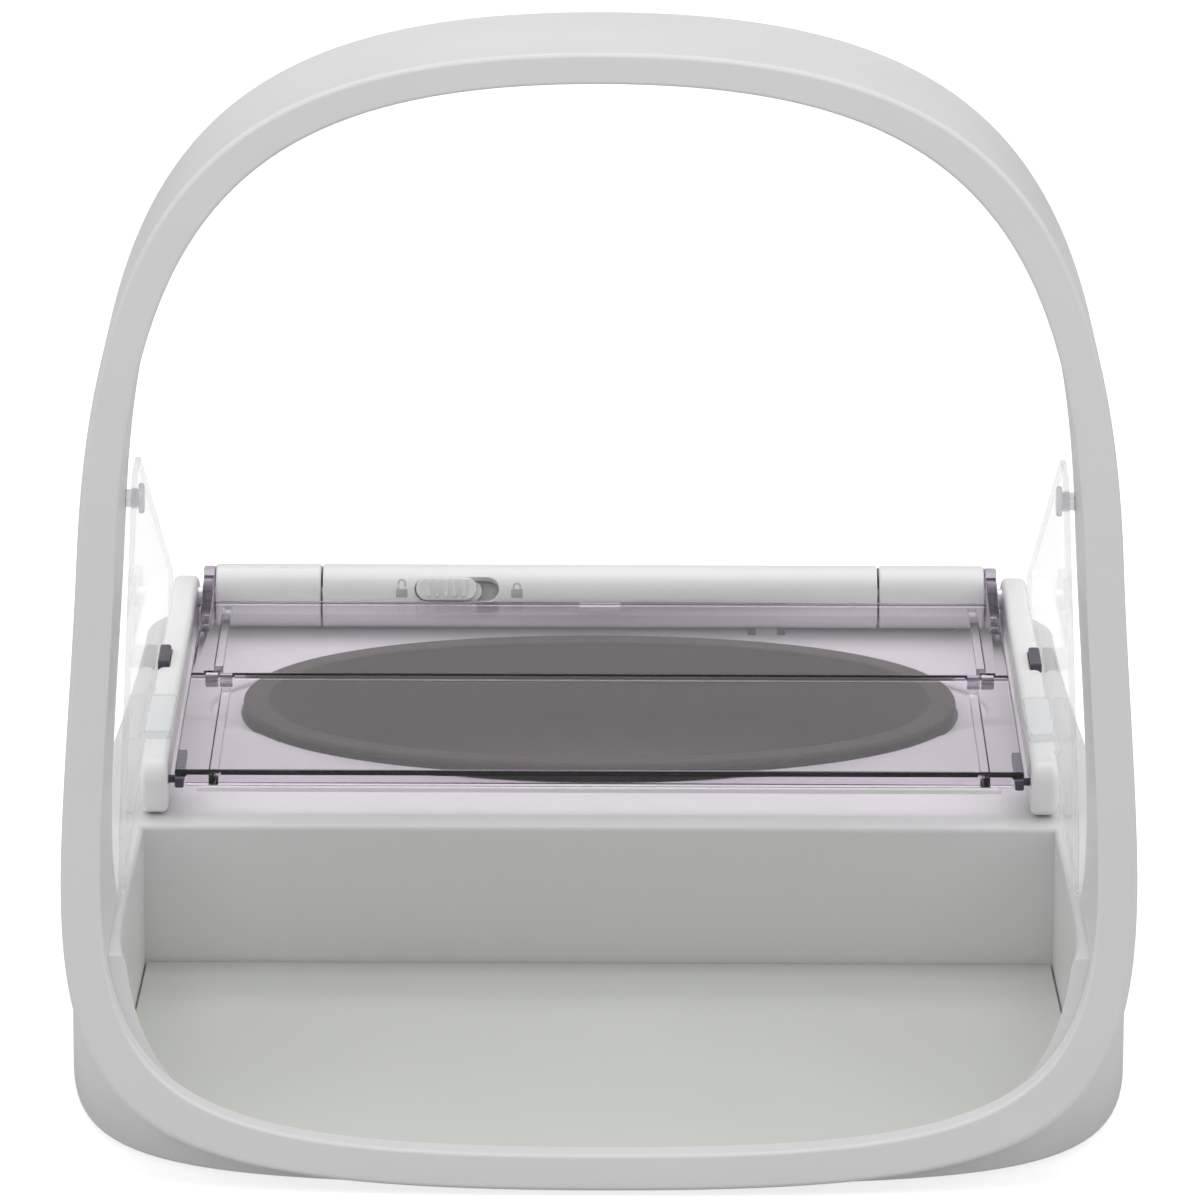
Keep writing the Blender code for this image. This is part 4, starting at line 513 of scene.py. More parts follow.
def offset_loop(loop: np.ndarray, inset: float) -> np.ndarray:
    """A closed outline moved inwards: each point goes along the inward normal of its two neighbours' chord.

    Args:
        loop: outline points, shape (points, 2), anticlockwise.
        inset: the distance inwards.

    Returns:
        The moved outline.
    """
    before = loop - np.roll(loop, 1, axis=0)
    after = np.roll(loop, -1, axis=0) - loop
    before /= np.maximum(np.linalg.norm(before, axis=1, keepdims=True), TINY)
    after /= np.maximum(np.linalg.norm(after, axis=1, keepdims=True), TINY)
    chord = before + after
    chord /= np.maximum(np.linalg.norm(chord, axis=1, keepdims=True), TINY)
    half = np.sqrt(np.clip((1 + np.sum(before * after, axis=1)) / 2, FLATTEST, 1.0))[:, None]
    return loop + np.stack([-chord[:, 1], chord[:, 0]], axis=1) * inset / half


def rounded_outline(corners: list[tuple[float, float]], radius: float, steps: int = 6) -> np.ndarray:
    """A polygon with each corner turned by an arc that touches both of its sides.

    Args:
        corners: the polygon's corners, in order.
        radius: the arcs' radius.
        steps: the pieces of each arc.

    Returns:
        The outline's points, anticlockwise.
    """
    here = np.array(corners, float)
    area = np.sum(here[:, 0] * np.roll(here[:, 1], -1) - np.roll(here[:, 0], -1) * here[:, 1])
    here = here if area > 0 else here[::-1]
    before = np.roll(here, 1, axis=0) - here
    after = np.roll(here, -1, axis=0) - here
    before /= np.linalg.norm(before, axis=1, keepdims=True)
    after /= np.linalg.norm(after, axis=1, keepdims=True)
    half = np.arccos(np.clip(np.sum(before * after, axis=1), -1, 1)) / 2
    middle = before + after
    middle /= np.linalg.norm(middle, axis=1, keepdims=True)
    centre = here + middle * (radius / np.sin(half))[:, None]
    start = here + before * (radius / np.tan(half))[:, None] - centre
    end = here + after * (radius / np.tan(half))[:, None] - centre
    first = np.arctan2(start[:, 1], start[:, 0])
    turn = (np.arctan2(end[:, 1], end[:, 0]) - first + np.pi) % (2 * np.pi) - np.pi
    angle = first[:, None] + turn[:, None] * np.linspace(0, 1, steps + 1)[None, :]
    ring = centre[:, None, :] + radius * np.stack([np.cos(angle), np.sin(angle)], axis=-1)
    return ring.reshape(-1, 2)


class Axis(Enum):
    """The axis along which an outline is carried, with the row axes that its two coordinates take."""

    X = (1, 2, 0)
    Y = (0, 2, 1)
    Z = (0, 1, 2)


def laid(plane: Axis, loop: np.ndarray, along: np.ndarray | float) -> np.ndarray:
    """Puts outline coordinates and a place along the axis into X, Y and Z."""
    points = np.empty((*loop.shape[:-1], 3))
    first, second, third = plane.value
    points[..., first] = loop[..., 0]
    points[..., second] = loop[..., 1]
    points[..., third] = along
    return points


def prism(name: str, plane: Axis, loop: np.ndarray, low: float, high: float, fillet: float) -> bpy.types.Mesh:
    """An outline carried along an axis, with every edge of both ends rounded by a quarter circle.

    Args:
        name: the mesh's name.
        plane: the axis along which the outline runs.
        loop: the outline, anticlockwise.
        low: where it starts.
        high: where it ends.
        fillet: the radius of the rounded edges.

    Returns:
        The closed mesh.
    """
    round_off = quarter_round()
    insets = np.concatenate([round_off[::-1, 0], round_off[:, 0]]) * fillet
    places = np.concatenate([low + round_off[::-1, 1] * fillet, high - round_off[:, 1] * fillet])
    rings = [laid(plane, offset_loop(loop, inset), place) for inset, place in zip(insets, places)]
    return grid_mesh(name, np.stack(rings))


def turned(
    name: str, plane: Axis, centre: tuple[float, float], rings: np.ndarray, steps: int, wrap: bool = False
) -> bpy.types.Mesh:
    """A turned shape: circles of the given radii at the given places along an axis.

    Args:
        name: the mesh's name.
        plane: the axis of the turning.
        centre: the axis's place in the plane's two coordinates.
        rings: radius and place of each circle, shape (rings, 2).
        steps: the points of each circle.
        wrap: whether the last circle joins the first, as on a sleeve.

    Returns:
        The closed mesh.
    """
    angle = np.linspace(0, 2 * np.pi, steps, endpoint=False)
    circle = np.stack([np.cos(angle), np.sin(angle)], axis=1)
    loops = circle[None] * rings[:, 0, None, None] + np.array(centre)
    points = np.stack([laid(plane, loop, place) for loop, place in zip(loops, rings[:, 1])])
    return grid_mesh(name, points, wrap_rows=wrap)


def rod(
    name: str, plane: Axis, centre: tuple[float, float], radius: float, ends: tuple[float, float],
    steps: int = 32,
) -> bpy.types.Mesh:
    """A plain cylinder between two places along an axis."""
    return turned(name, plane, centre, np.array([[radius, end] for end in ends]), steps)


def rounded_ends(radius: float, low: float, high: float, fillet: float) -> np.ndarray:
    """Radius and place of the circles of a rod whose two ends are rounded off by a quarter circle."""
    corner = quarter_round() * fillet
    first = np.stack([radius - corner[::-1, 0], low + corner[::-1, 1]], axis=1)
    last = np.stack([radius - corner[:, 0], high - corner[:, 1]], axis=1)
    return np.concatenate([first, last])


def put(
    name: str,
    mesh: bpy.types.Mesh,
    body: Body,
    finish: Finish | None = None,
    nodes: tuple[str, ...] = (),
) -> bpy.types.Object:
    """Makes a piece of a mesh, dresses it and lets it ride on its body.

    Args:
        name: the piece's name.
        mesh: the finished mesh, in the feeder's frame.
        body: the body it moves with.
        finish: the finish, unless the mesh has its materials already.
        nodes: the solids that it stands for.

    Returns:
        The piece.
    """
    mesh.name = name
    piece = bpy.data.objects.new(name, mesh)
    bpy.context.scene.collection.objects.link(piece)
    if finish is not None:
        mesh.materials.clear()
        mesh.materials.append(finish.build())
    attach(piece, body.value)
    if nodes:
        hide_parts(*nodes)
    LOG.info("%s rides on %s, %d faces", name, body.value, len(mesh.polygons))
    return piece


def dress_nodes(frame: dict, finish: Finish, *nodes: str) -> None:
    """Gives solids that stay in view a finish through their own material slots.

    Args:
        frame: the loaded frame.
        finish: the finish.
        nodes: the solids' names.
    """
    for name in nodes:
        data = frame["nodes"][name].data
        data.materials.clear()
        data.materials.append(finish.build())
        LOG.info("%s takes %s", name, finish.name)


# The feeder's shared sizes


@dataclass(frozen=True)
class Sizes:
    """Lengths that several pieces share, in metres, Y measured from the middle of the footprint."""

    tilt_run: float = math.tan(math.radians(45.4))
    tilt_face: float = math.cos(math.radians(45.4))
    middle: float = 0.159507
    half_width: float = 0.115
    height: float = 0.200
    deck: float = 0.0382
    deck_under: float = 0.0358
    wall: float = 0.0024
    tray_back: float = -0.023507
    tray_floor: float = 0.0044
    rear_edge: float = 0.158493
    axis_y: float = 0.131493
    axis_z: float = 0.047
    shaft_bore: float = 0.0026
    fold_y: float = 0.059493
    guide_y: float = -0.012507
    guide_drop: float = 0.0012
    lid_front: float = -0.016007
    half_lid: float = 0.095
    plate_low: float = 0.0472
    plate_high: float = 0.0490
    bowl_y: float = 0.066493
    bowl_half_length: float = 0.083
    bowl_half_breadth: float = 0.0525
    peg_height: float = 0.1098


SIZE = Sizes()
BARREL = (SIZE.axis_y, SIZE.axis_z)

# Outlines


def curve(knots: list[tuple[float, float]], steps: int) -> np.ndarray:
    """A cubic Bezier of four knots in that many steps, without its last point."""
    return bezier(*(np.array(knot) for knot in knots), np.linspace(0, 1, steps + 1))[:-1]


@dataclass(frozen=True)
class Footprint:
    """The base's outline: a broad bow in front, two side curves that draw in, and rounded rear corners."""

    front: float = -0.154507
    wide_y: float = -0.049507
    front_reach: float = 0.88
    near_handle: float = 0.0111
    far_handle: float = 0.07189
    rear_half: float = 0.109
    turn_y: float = 0.132493
    rear_reach: float = 0.58
    flat_half: float = 0.083

    def half(self, side_inset: float, front_inset: float, rear_inset: float) -> np.ndarray:
        """The right half of the outline, from the middle of the front round to the middle of the back.

        Args:
            side_inset: the distance in from the sides.
            front_inset: the distance in from the front.
            rear_inset: the distance in from the back.

        Returns:
            The points (x, y): two side curves, a rear corner curve and the straight back.
        """
        front, back = self.front + front_inset, SIZE.rear_edge - rear_inset
        wide, rear = SIZE.half_width - side_inset, self.rear_half - side_inset
        wide_y, turn_y, flat = self.wide_y, self.turn_y, self.flat_half
        bow = [(0, front), (wide * self.front_reach, front)]
        bow += [(wide, wide_y - (wide_y - front) * self.front_reach), (wide, wide_y)]
        side = [(wide, wide_y), (wide, self.near_handle), (rear, self.far_handle), (rear, turn_y)]
        corner = [(rear, turn_y), (rear, turn_y + (back - turn_y) * self.rear_reach)]
        corner += [(flat + (rear - flat) * (1 - self.rear_reach), back), (flat, back)]
        curves = [curve(knots, 32) for knots in (bow, side, corner)]
        return np.concatenate([*curves, [[flat, back], [0.0, back]]])


@dataclass(frozen=True)
class TrayOutline:
    """The tray's outline: a front that follows the hoop's inner edge, and nearly straight sides."""

    half_width: float = 0.1016
    bulge: float = 0.001
    front: float = -0.148407
    wide_y: float = -0.087507
    front_reach: float = 0.90
    near_run: float = 0.0247
    far_handle: float = -0.0382
    straight_y: float = -0.0135

    def half(self, side_fit: float, front_fit: float) -> np.ndarray:
        """The right half of the tray's pocket.

        Args:
            side_fit: the distance in from the sides.
            front_fit: the distance in from the front.

        Returns:
            The points (x, y) from the middle of the front to behind the tray.
        """
        half, front, wide_y = self.half_width - side_fit, self.front + front_fit, self.wide_y
        wide = half + self.bulge
        bow = [(0, front), (wide * self.front_reach, front)]
        bow += [(wide, wide_y - (wide_y - front) * self.front_reach), (wide, wide_y)]
        side = [(wide, wide_y), (wide, wide_y + self.near_run), (half, self.far_handle), (half, self.straight_y)]
        return np.concatenate([curve(bow, 48), curve(side, 16), [[half, self.straight_y], [0.0, 0.0]]])


FOOTPRINT = Footprint()
TRAY = TrayOutline()


def mirrored(half: np.ndarray) -> np.ndarray:
    """A closed outline from its right half, whose ends lie on the middle line."""
    left = half[1:-1][::-1] * np.array([-1.0, 1.0])
    return np.concatenate([half, left])


def clipped(half: np.ndarray, limit: float, keep_front: bool) -> np.ndarray:
    """A right half outline cut straight across at one depth.

    Args:
        half: the right half, from the front to the back.
        limit: the depth of the cut.
        keep_front: whether the part before the cut is kept, or the part behind it.

    Returns:
        The closed outline of the kept part.
    """
    apart = 1e-4
    side = half[:-1]
    across = np.interp(limit, side[:, 1], side[:, 0])
    if keep_front:
        kept = np.concatenate([half[half[:, 1] < limit - apart], [[across, limit], [0.0, limit]]])
    else:
        kept = np.concatenate([[[0.0, limit], [across, limit]], half[half[:, 1] > limit + apart]])
    return mirrored(kept)


def oval(
    half_length: np.ndarray, half_breadth: np.ndarray, steps: int = 24, share: float = 0.60
) -> np.ndarray:
    """Ovals of four Bezier quarters whose handles reach a share of each half axis.

    Args:
        half_length: half the length of each oval, shape (ovals,).
        half_breadth: half the breadth of each oval.
        steps: the points of each quarter.
        share: the handles' reach.

    Returns:
        The ovals' points about the bowl's centre, shape (ovals, points, 2).
    """
    t = np.arange(steps) / steps
    rest = 1 - t
    along = rest**3 + 3 * rest**2 * t + 3 * rest * t**2 * share
    across = 3 * rest**2 * t * share + 3 * rest * t**2 + t**3
    x = np.concatenate([along, -across, -along, across])
    y = np.concatenate([across, along, -across, -along])
    return np.stack([x * half_length[:, None], y * half_breadth[:, None] + SIZE.bowl_y], axis=-1)


def oval_rows(name: str, rows: np.ndarray) -> bpy.types.Mesh:
    """A body of stacked ovals.

    Args:
        name: the mesh's name.
        rows: half length, half breadth and height of each oval, shape (rows, 3).

    Returns:
        The closed mesh.
    """
    loops = oval(rows[:, 0], rows[:, 1])
    heights = np.broadcast_to(rows[:, None, 2:], (*loops.shape[:2], 1))
    return grid_mesh(name, np.concatenate([loops, heights], axis=-1))


def slab(name: str, plane: Axis, loop: np.ndarray, low: float, high: float) -> bpy.types.Mesh:
    """An outline carried straight along an axis, with sharp ends."""
    return grid_mesh(name, np.stack([laid(plane, loop, low), laid(plane, loop, high)]))


def block(name: str, low: Point, high: Point, fillet: float = 0.0, corner: float = 0.0) -> bpy.types.Mesh:
    """A block between two corners, with rounded uprights and rounded ends."""
    corners = [(low[0], low[1]), (high[0], low[1]), (high[0], high[1]), (low[0], high[1])]
    loop = rounded_outline(corners, corner) if corner else np.array(corners)
    if fillet:
        return prism(name, Axis.Z, loop, low[2], high[2], fillet)
    return slab(name, Axis.Z, loop, low[2], high[2])


def flared(
    name: str, loop: np.ndarray, low: float, high: float, flare: float, foot: float, over: float = 0.01
) -> bpy.types.Mesh:
    """A cutter along Z that rounds off the rim and the floor edge of the pocket that it cuts.

    Args:
        name: the mesh's name.
        loop: the pocket's outline.
        low: the height of the pocket's floor.
        high: the height of the face that the pocket opens in.
        flare: the radius of the rounded rim.
        foot: the radius between the pocket's floor and wall.
        over: how far the cutter runs on above the face.

    Returns:
        The closed mesh.
    """
    turn = np.linspace(0, np.pi / 2, 7)
    insets = np.concatenate([foot * (1 - np.sin(turn)), -flare * (1 - np.cos(turn)), [-flare]])
    rise = low + foot * (1 - np.cos(turn))
    heights = np.concatenate([rise, high - flare + flare * np.sin(turn), [high + over]])
    return grid_mesh(name, np.stack([laid(Axis.Z, offset_loop(loop, i), h) for i, h in zip(insets, heights)]))


def behind_hoop(height: float, behind: float) -> float:
    """Y of the plane that leans with the hoop, that far behind its front face, at a height."""
    return height * SIZE.tilt_run + behind - SIZE.middle


def leaning_block(name: str, behind: float, low: float, high: float, ahead: bool) -> bpy.types.Mesh:
    """A wide cutter with one face that leans with the hoop, reaching forward or back from it."""
    far = -0.6 if ahead else 0.6
    loop = [(behind_hoop(low, behind), low), (far, low), (far, high), (behind_hoop(high, behind), high)]
    return slab(name, Axis.X, np.array(loop), -0.3, 0.3)


class Cut(Enum):
    """The ways in which a mesh is combined with a piece."""

    AWAY = "DIFFERENCE"
    ON = "UNION"
    WITHIN = "INTERSECT"


def combine(piece: bpy.types.Object, steps: list[tuple[bpy.types.Mesh, Cut]]) -> None:
    """Combines closed meshes with a piece, one after the other, and keeps the result as its mesh.

    Args:
        piece: the piece, whose mesh is replaced.
        steps: the meshes, which are used up, with how each is combined.
    """
    tools = []
    for number, (mesh, how) in enumerate(steps):
        tool = bpy.data.objects.new(f"{piece.name}_tool_{number}", mesh)
        bpy.context.scene.collection.objects.link(tool)
        modifier = piece.modifiers.new(f"step_{number}", "BOOLEAN")
        modifier.operation = how.value
        modifier.solver = "EXACT"
        modifier.object = tool
        tools.append(tool)
    bpy.context.view_layer.update()
    graph = bpy.context.evaluated_depsgraph_get()
    result = bpy.data.meshes.new_from_object(piece.evaluated_get(graph))
    piece.modifiers.clear()
    piece.data = result
    for tool in tools:
        bpy.data.objects.remove(tool, do_unlink=True)
    tidy_mesh(result)
    flatten(piece)


def flatten(piece: bpy.types.Object) -> None:
    """Weights the piece's normals by face area, so that its flat faces stay flat beside small rounds."""
    weighted = piece.modifiers.new("flat_faces", "WEIGHTED_NORMAL")
    weighted.keep_sharp = True
    weighted.weight = 60


def edges_by_direction(
    piece: bpy.types.Object, axis: int, band: tuple[float, float], hub_from: float, finishes: tuple[Finish, ...]
) -> None:
    """Dresses a clear plate by how far each face turns from the plate's own direction.

    Args:
        piece: the plate.
        axis: the axis across the plate: 0, 1 or 2.
        band: the places along that axis between which the edge finish is used.
        hub_from: the place along Y behind which every face takes the hub's finish.
        finishes: those of the broad faces, the upright edge faces, the small rounds between them, and the hub.
    """
    mesh = piece.data
    normals, centres = np.empty(len(mesh.polygons) * 3), np.empty(len(mesh.polygons) * 3)
    mesh.polygons.foreach_get("normal", normals)
    mesh.polygons.foreach_get("center", centres)
    normals, centres = normals.reshape(-1, 3), centres.reshape(-1, 3)
    share = np.abs(normals[:, axis])
    beside = (np.abs(normals[:, 0]) > 0.7) & (np.abs(centres[:, 0]) > SIZE.half_lid - 0.0004)
    inside = (centres[:, axis] > band[0]) & (centres[:, axis] < band[1])
    index = np.where(share > 0.97, 0, np.where((share < 0.2) & ~beside, 1, 2))
    index = np.where(inside | (share > 0.97), index, 1)
    index = np.where(centres[:, 1] > hub_from, 3, index).astype(np.int32)
    mesh.materials.clear()
    for finish in finishes:
        mesh.materials.append(finish.build())
    mesh.polygons.foreach_set("material_index", index)
    mesh.update()


def stadium(centre: tuple[float, float], half_length: float, radius: float, steps: int = 12) -> np.ndarray:
    """A stadium outline along X: two half circles joined by straight sides that carry points of their own."""
    turn = np.linspace(-np.pi / 2, np.pi / 2, steps)
    right = np.stack([half_length - radius + radius * np.cos(turn), radius * np.sin(turn)], axis=1)
    run = np.linspace(half_length - radius, -(half_length - radius), 8)[1:-1]
    upper = np.stack([run, np.full_like(run, radius)], axis=1)
    return np.concatenate([right, upper, -right, -upper]) + np.array(centre)


# The hoop


@dataclass(frozen=True)
class Hoop:
    """The leaning hoop: a closed ring with a rounded front and a rear strip that closes its channel."""

    foot: float = 0.001
    wide_height: float = 0.060
    shoulder_height: float = 0.107
    shoulder_half: float = 0.1141
    shares: Point = (0.854, 0.333, 0.735)
    steps: tuple[int, int, int] = (40, 14, 44)
    depth: float = 0.045
    foot_depth: float = 0.0052
    foot_height: float = 0.0385
    face: float = 0.0085
    wall: float = 0.0019
    round_out: float = 0.0013
    round_in: float = 0.0009
    end_out: float = 0.0005
    end_in: float = 0.0004
    straight: float = 0.008
    seat: float = 0.003
    strip_thickness: float = 0.0027
    strip_gap: float = 0.0003
    hole_radius: float = 0.0023
    hole_before: float = 0.0052
    hole_reach: float = 0.1068

    def rings(self, insets: np.ndarray) -> np.ndarray:
        """The hoop's outline at several insets: three Beziers from its foot to its crown, and their mirror.

        Args:
            insets: the distances in from the outer outline, shape (rings,).

        Returns:
            The points (x, z), shape (rings, points, 2).
        """
        inset = insets[:, None]
        rise = inset * SIZE.tilt_face
        low, side, crown = self.shares
        half, shoulder = SIZE.half_width - inset, self.shoulder_half - inset
        bottom, top = self.foot + rise, SIZE.height - rise
        wide, upper = self.wide_height + 0 * inset, self.shoulder_height + 0 * inset
        run = upper - wide

        def at(x: np.ndarray, z: np.ndarray) -> np.ndarray:
            """One control point per ring."""
            return np.stack([x + 0 * z, z + 0 * x], axis=-1)

        start, widest, neck, end = at(0 * half, bottom), at(half, wide), at(shoulder, upper), at(0 * top, top)
        parts = [
            (start, at(half * low, bottom), at(half, wide - (wide - bottom) * low), widest),
            (widest, at(half, wide + run * side), at(shoulder, upper - run * side), neck),
            (neck, at(shoulder, upper + (top - upper) * crown), at(shoulder * crown, top), end),
        ]
        places = [np.linspace(0, 1, count + 1)[None, :-1] for count in self.steps]
        right = np.concatenate([*(bezier(*part, t) for part, t in zip(parts, places)), end], axis=1)
        return np.concatenate([right, right[:, 1:-1][:, ::-1] * np.array([-1.0, 1.0])], axis=1)

    def swept(self, name: str, profile: np.ndarray) -> bpy.types.Mesh:
        """Carries a closed profile round the hoop: each point keeps its inset and its depth behind the front.

        Args:
            name: the mesh's name.
            profile: inset and depth of each point, shape (points, 2).

        Returns:
            The closed ring.
        """
        rings = self.rings(profile[:, 0])
        y = behind_hoop(rings[..., 1], profile[:, 1, None])
        return grid_mesh(name, np.stack([rings[..., 0], y, rings[..., 1]], axis=-1), wrap_rows=True)

    def shell_profile(self) -> np.ndarray:
        """The channel's section: outer wall, rounded front, inner wall and the open back.

        Returns:
            Inset and depth of each point.
        """
        outer = quarter_round(8) * self.round_out
        inner = quarter_round(6)[::-1] * self.round_in
        back, half_way, face = self.depth, self.depth * 0.5, self.face
        low, high, floor = self.wall, self.face - self.wall, self.depth - self.seat
        return np.concatenate([
            [[self.end_out, back], [0.0, back - self.end_out], [0.0, half_way], [0.0, self.straight]],
            outer,
            np.stack([face - inner[:, 0], inner[:, 1]], axis=1),
            [[face, self.straight], [face, half_way], [face, back - self.end_in], [face - self.end_in, back]],
            [[high, back], [high, floor], [low, floor], [low, back]],
        ])

    def build(self) -> None:
        """Builds the shell and its rear strip."""
        ring = self.swept("hoop_shell", self.shell_profile())
        shell = put("hoop_ring", ring, Body.HOUSING, FINISH.shell, ("hoop_shell",))
        hole_place = (behind_hoop(SIZE.peg_height, self.depth - self.hole_before), SIZE.peg_height)
        hole = rod("hole", Axis.X, hole_place, self.hole_radius, (-self.hole_reach, self.hole_reach))
        foot = leaning_block("foot", self.foot_depth, -0.02, self.foot_height, False)
        combine(shell, [(foot, Cut.AWAY), (hole, Cut.AWAY)])
        gap, near, far = self.strip_gap, self.depth - self.strip_thickness, self.depth
        low, high = self.wall + gap, self.face - self.wall - gap
        strip = np.array([
            [low, far - gap], [low, near], [high, near], [high, far - gap], [high - gap, far], [low + gap, far]
        ])
        strip_mesh = self.swept("strip", strip)
        nodes = ("hoop_rear_cover",)
        cover = put("hoop_rear_strip", strip_mesh, Body.HOUSING, FINISH.trim, nodes)
        combine(cover, [(block("under", (-0.3, -0.5, -0.02), (0.3, 0.5, self.foot_height)), Cut.AWAY)])


# The base


@dataclass(frozen=True)
class Base:
    """The base moulding with tray, deck and bowl well, and its mat."""

    underside: float = 0.001
    edge_round: float = 0.0008
    lip_round: float = 0.0012
    front_depth: float = 0.0055
    recess_inset: float = 0.0024
    recess_front: float = 0.0126
    recess_top: float = 0.0033
    cavity_inset: float = 0.0034
    well_draft: float = 0.012
    well_fit: float = 0.0012
    well_floor: float = 0.0147
    well_wall: float = 0.0016
    well_rim: float = 0.0009
    well_foot: float = 0.0015
    opening_low: float = 0.0258
    hatch_half: float = 0.0905
    hatch_y: tuple[float, float] = (0.1312, 0.152493)
    gear_x: tuple[float, float] = (0.0355, 0.0445)
    gear_y: tuple[float, float] = (0.1266, 0.1330)
    finger_radius: float = 0.026
    finger_out: float = 0.0075
    finger_floor: float = 0.037
    finger_round: float = 0.0006
    finger_flare: float = 0.0004
    mat_z: tuple[float, float] = (0.0047, 0.0065)
    mat_round: float = 0.0005
    mat_fits: tuple[float, float] = (0.0003, 0.0012)
    above: float = 0.05

    def tray_loop(self, side_fit: float = 0.0, front_fit: float = 0.0) -> np.ndarray:
        """The tray's outline, or the mat's with its fits."""
        return clipped(TRAY.half(side_fit, front_fit), SIZE.tray_back - side_fit, True)

    def well(self, name: str, extra: float, floor: float, rim: float) -> bpy.types.Mesh:
        """The tapered oval of the well, from its floor to above the deck.

        Args:
            name: the mesh's name.
            extra: the distance outside the well's own wall.
            floor: the height of its floor.
            rim: the radius of the flare at the deck, or 0 for the body outside the wall.

        Returns:
            The closed mesh.
        """
        outside = self.well_fit + extra
        turn = np.linspace(0, np.pi / 2, 7)
        slope = self.well_draft / (SIZE.deck - self.well_floor)
        top = SIZE.deck - 0.0003 if rim == 0 else SIZE.deck - rim
        foot = self.well_foot
        heights = np.concatenate([floor + foot * (1 - np.cos(turn)), [top]])
        insets = np.concatenate([foot * (1 - np.sin(turn)), [0.0]]) + (SIZE.deck - heights) * slope
        if rim:
            heights = np.concatenate([heights, SIZE.deck - rim + rim * np.sin(turn[1:]), [SIZE.deck + 0.01]])
            insets = np.concatenate([insets, rim * slope - (rim * slope + rim) * (1 - np.cos(turn[1:])), [-rim]])
        long, broad = SIZE.bowl_half_length + outside, SIZE.bowl_half_breadth + outside
        return oval_rows(name, np.stack([long - insets, broad - insets, heights], axis=1))

    def finger(self, side: Side) -> bpy.types.Mesh:
        """The round hollow beside the bowl that lets a finger under its rim.

        Args:
            side: the side of the bowl.

        Returns:
            The cutter.
        """
        radius, flared_radius = self.finger_radius, self.finger_radius + self.finger_flare
        centre = side.value * (SIZE.bowl_half_length + self.finger_out - radius)
        corner = quarter_round(6)[::-1] * self.finger_round
        rings = np.stack([radius - corner[:, 0], self.finger_floor + corner[:, 1]], axis=1)
        ends = [[radius, SIZE.deck - self.finger_flare], [flared_radius, SIZE.deck], [flared_radius, self.above]]
        return turned("finger", Axis.Z, (centre, SIZE.bowl_y), np.concatenate([rings, ends]), 96)

    def build(self) -> None:
        """Builds the base and the mat."""
        outline = mirrored(FOOTPRINT.half(0, 0, 0))
        outer = prism("base_shell", Axis.Z, outline, self.underside, SIZE.deck, self.edge_round)
        base = put("base_body", outer, Body.HOUSING, FINISH.shell, ("base_shell",))
        recess_loop = mirrored(FOOTPRINT.half(self.recess_inset, self.recess_front, self.recess_inset))
        inset = self.cavity_inset
        cavity_loop = clipped(FOOTPRINT.half(inset, inset, inset), SIZE.tray_back + SIZE.wall, False)
        lip, low, above = self.lip_round, self.opening_low, self.above
        tray = flared("tray", self.tray_loop(), SIZE.tray_floor, SIZE.deck, lip, lip)
        hatch = ((-self.hatch_half, self.hatch_y[0], low), (self.hatch_half, self.hatch_y[1], above))
        gear = ((self.gear_x[0], self.gear_y[0], low), (self.gear_x[1], self.gear_y[1], above))
        steps = [
            (leaning_block("front", self.front_depth, -0.02, 0.06, True), Cut.AWAY),
            (tray, Cut.AWAY),
            (slab("recess", Axis.Z, recess_loop, -0.01, self.recess_top), Cut.AWAY),
            (slab("cavity", Axis.Z, cavity_loop, -0.02, SIZE.deck_under), Cut.AWAY),
            (self.well("well_wall", self.well_wall, self.well_floor - self.well_wall, 0.0), Cut.ON),
            (self.well("well", 0.0, self.well_floor, self.well_rim), Cut.AWAY),
            (block("hatch", *hatch), Cut.AWAY),
            (block("gear_slot", *gear), Cut.AWAY),
        ]
        combine(base, steps + [(self.finger(side), Cut.AWAY) for side in Side])
        mat = prism("mat", Axis.Z, self.tray_loop(*self.mat_fits), *self.mat_z, self.mat_round)
        flatten(put("mat_sheet", mat, Body.MAT, FINISH.mat, ("tray_mat",)))


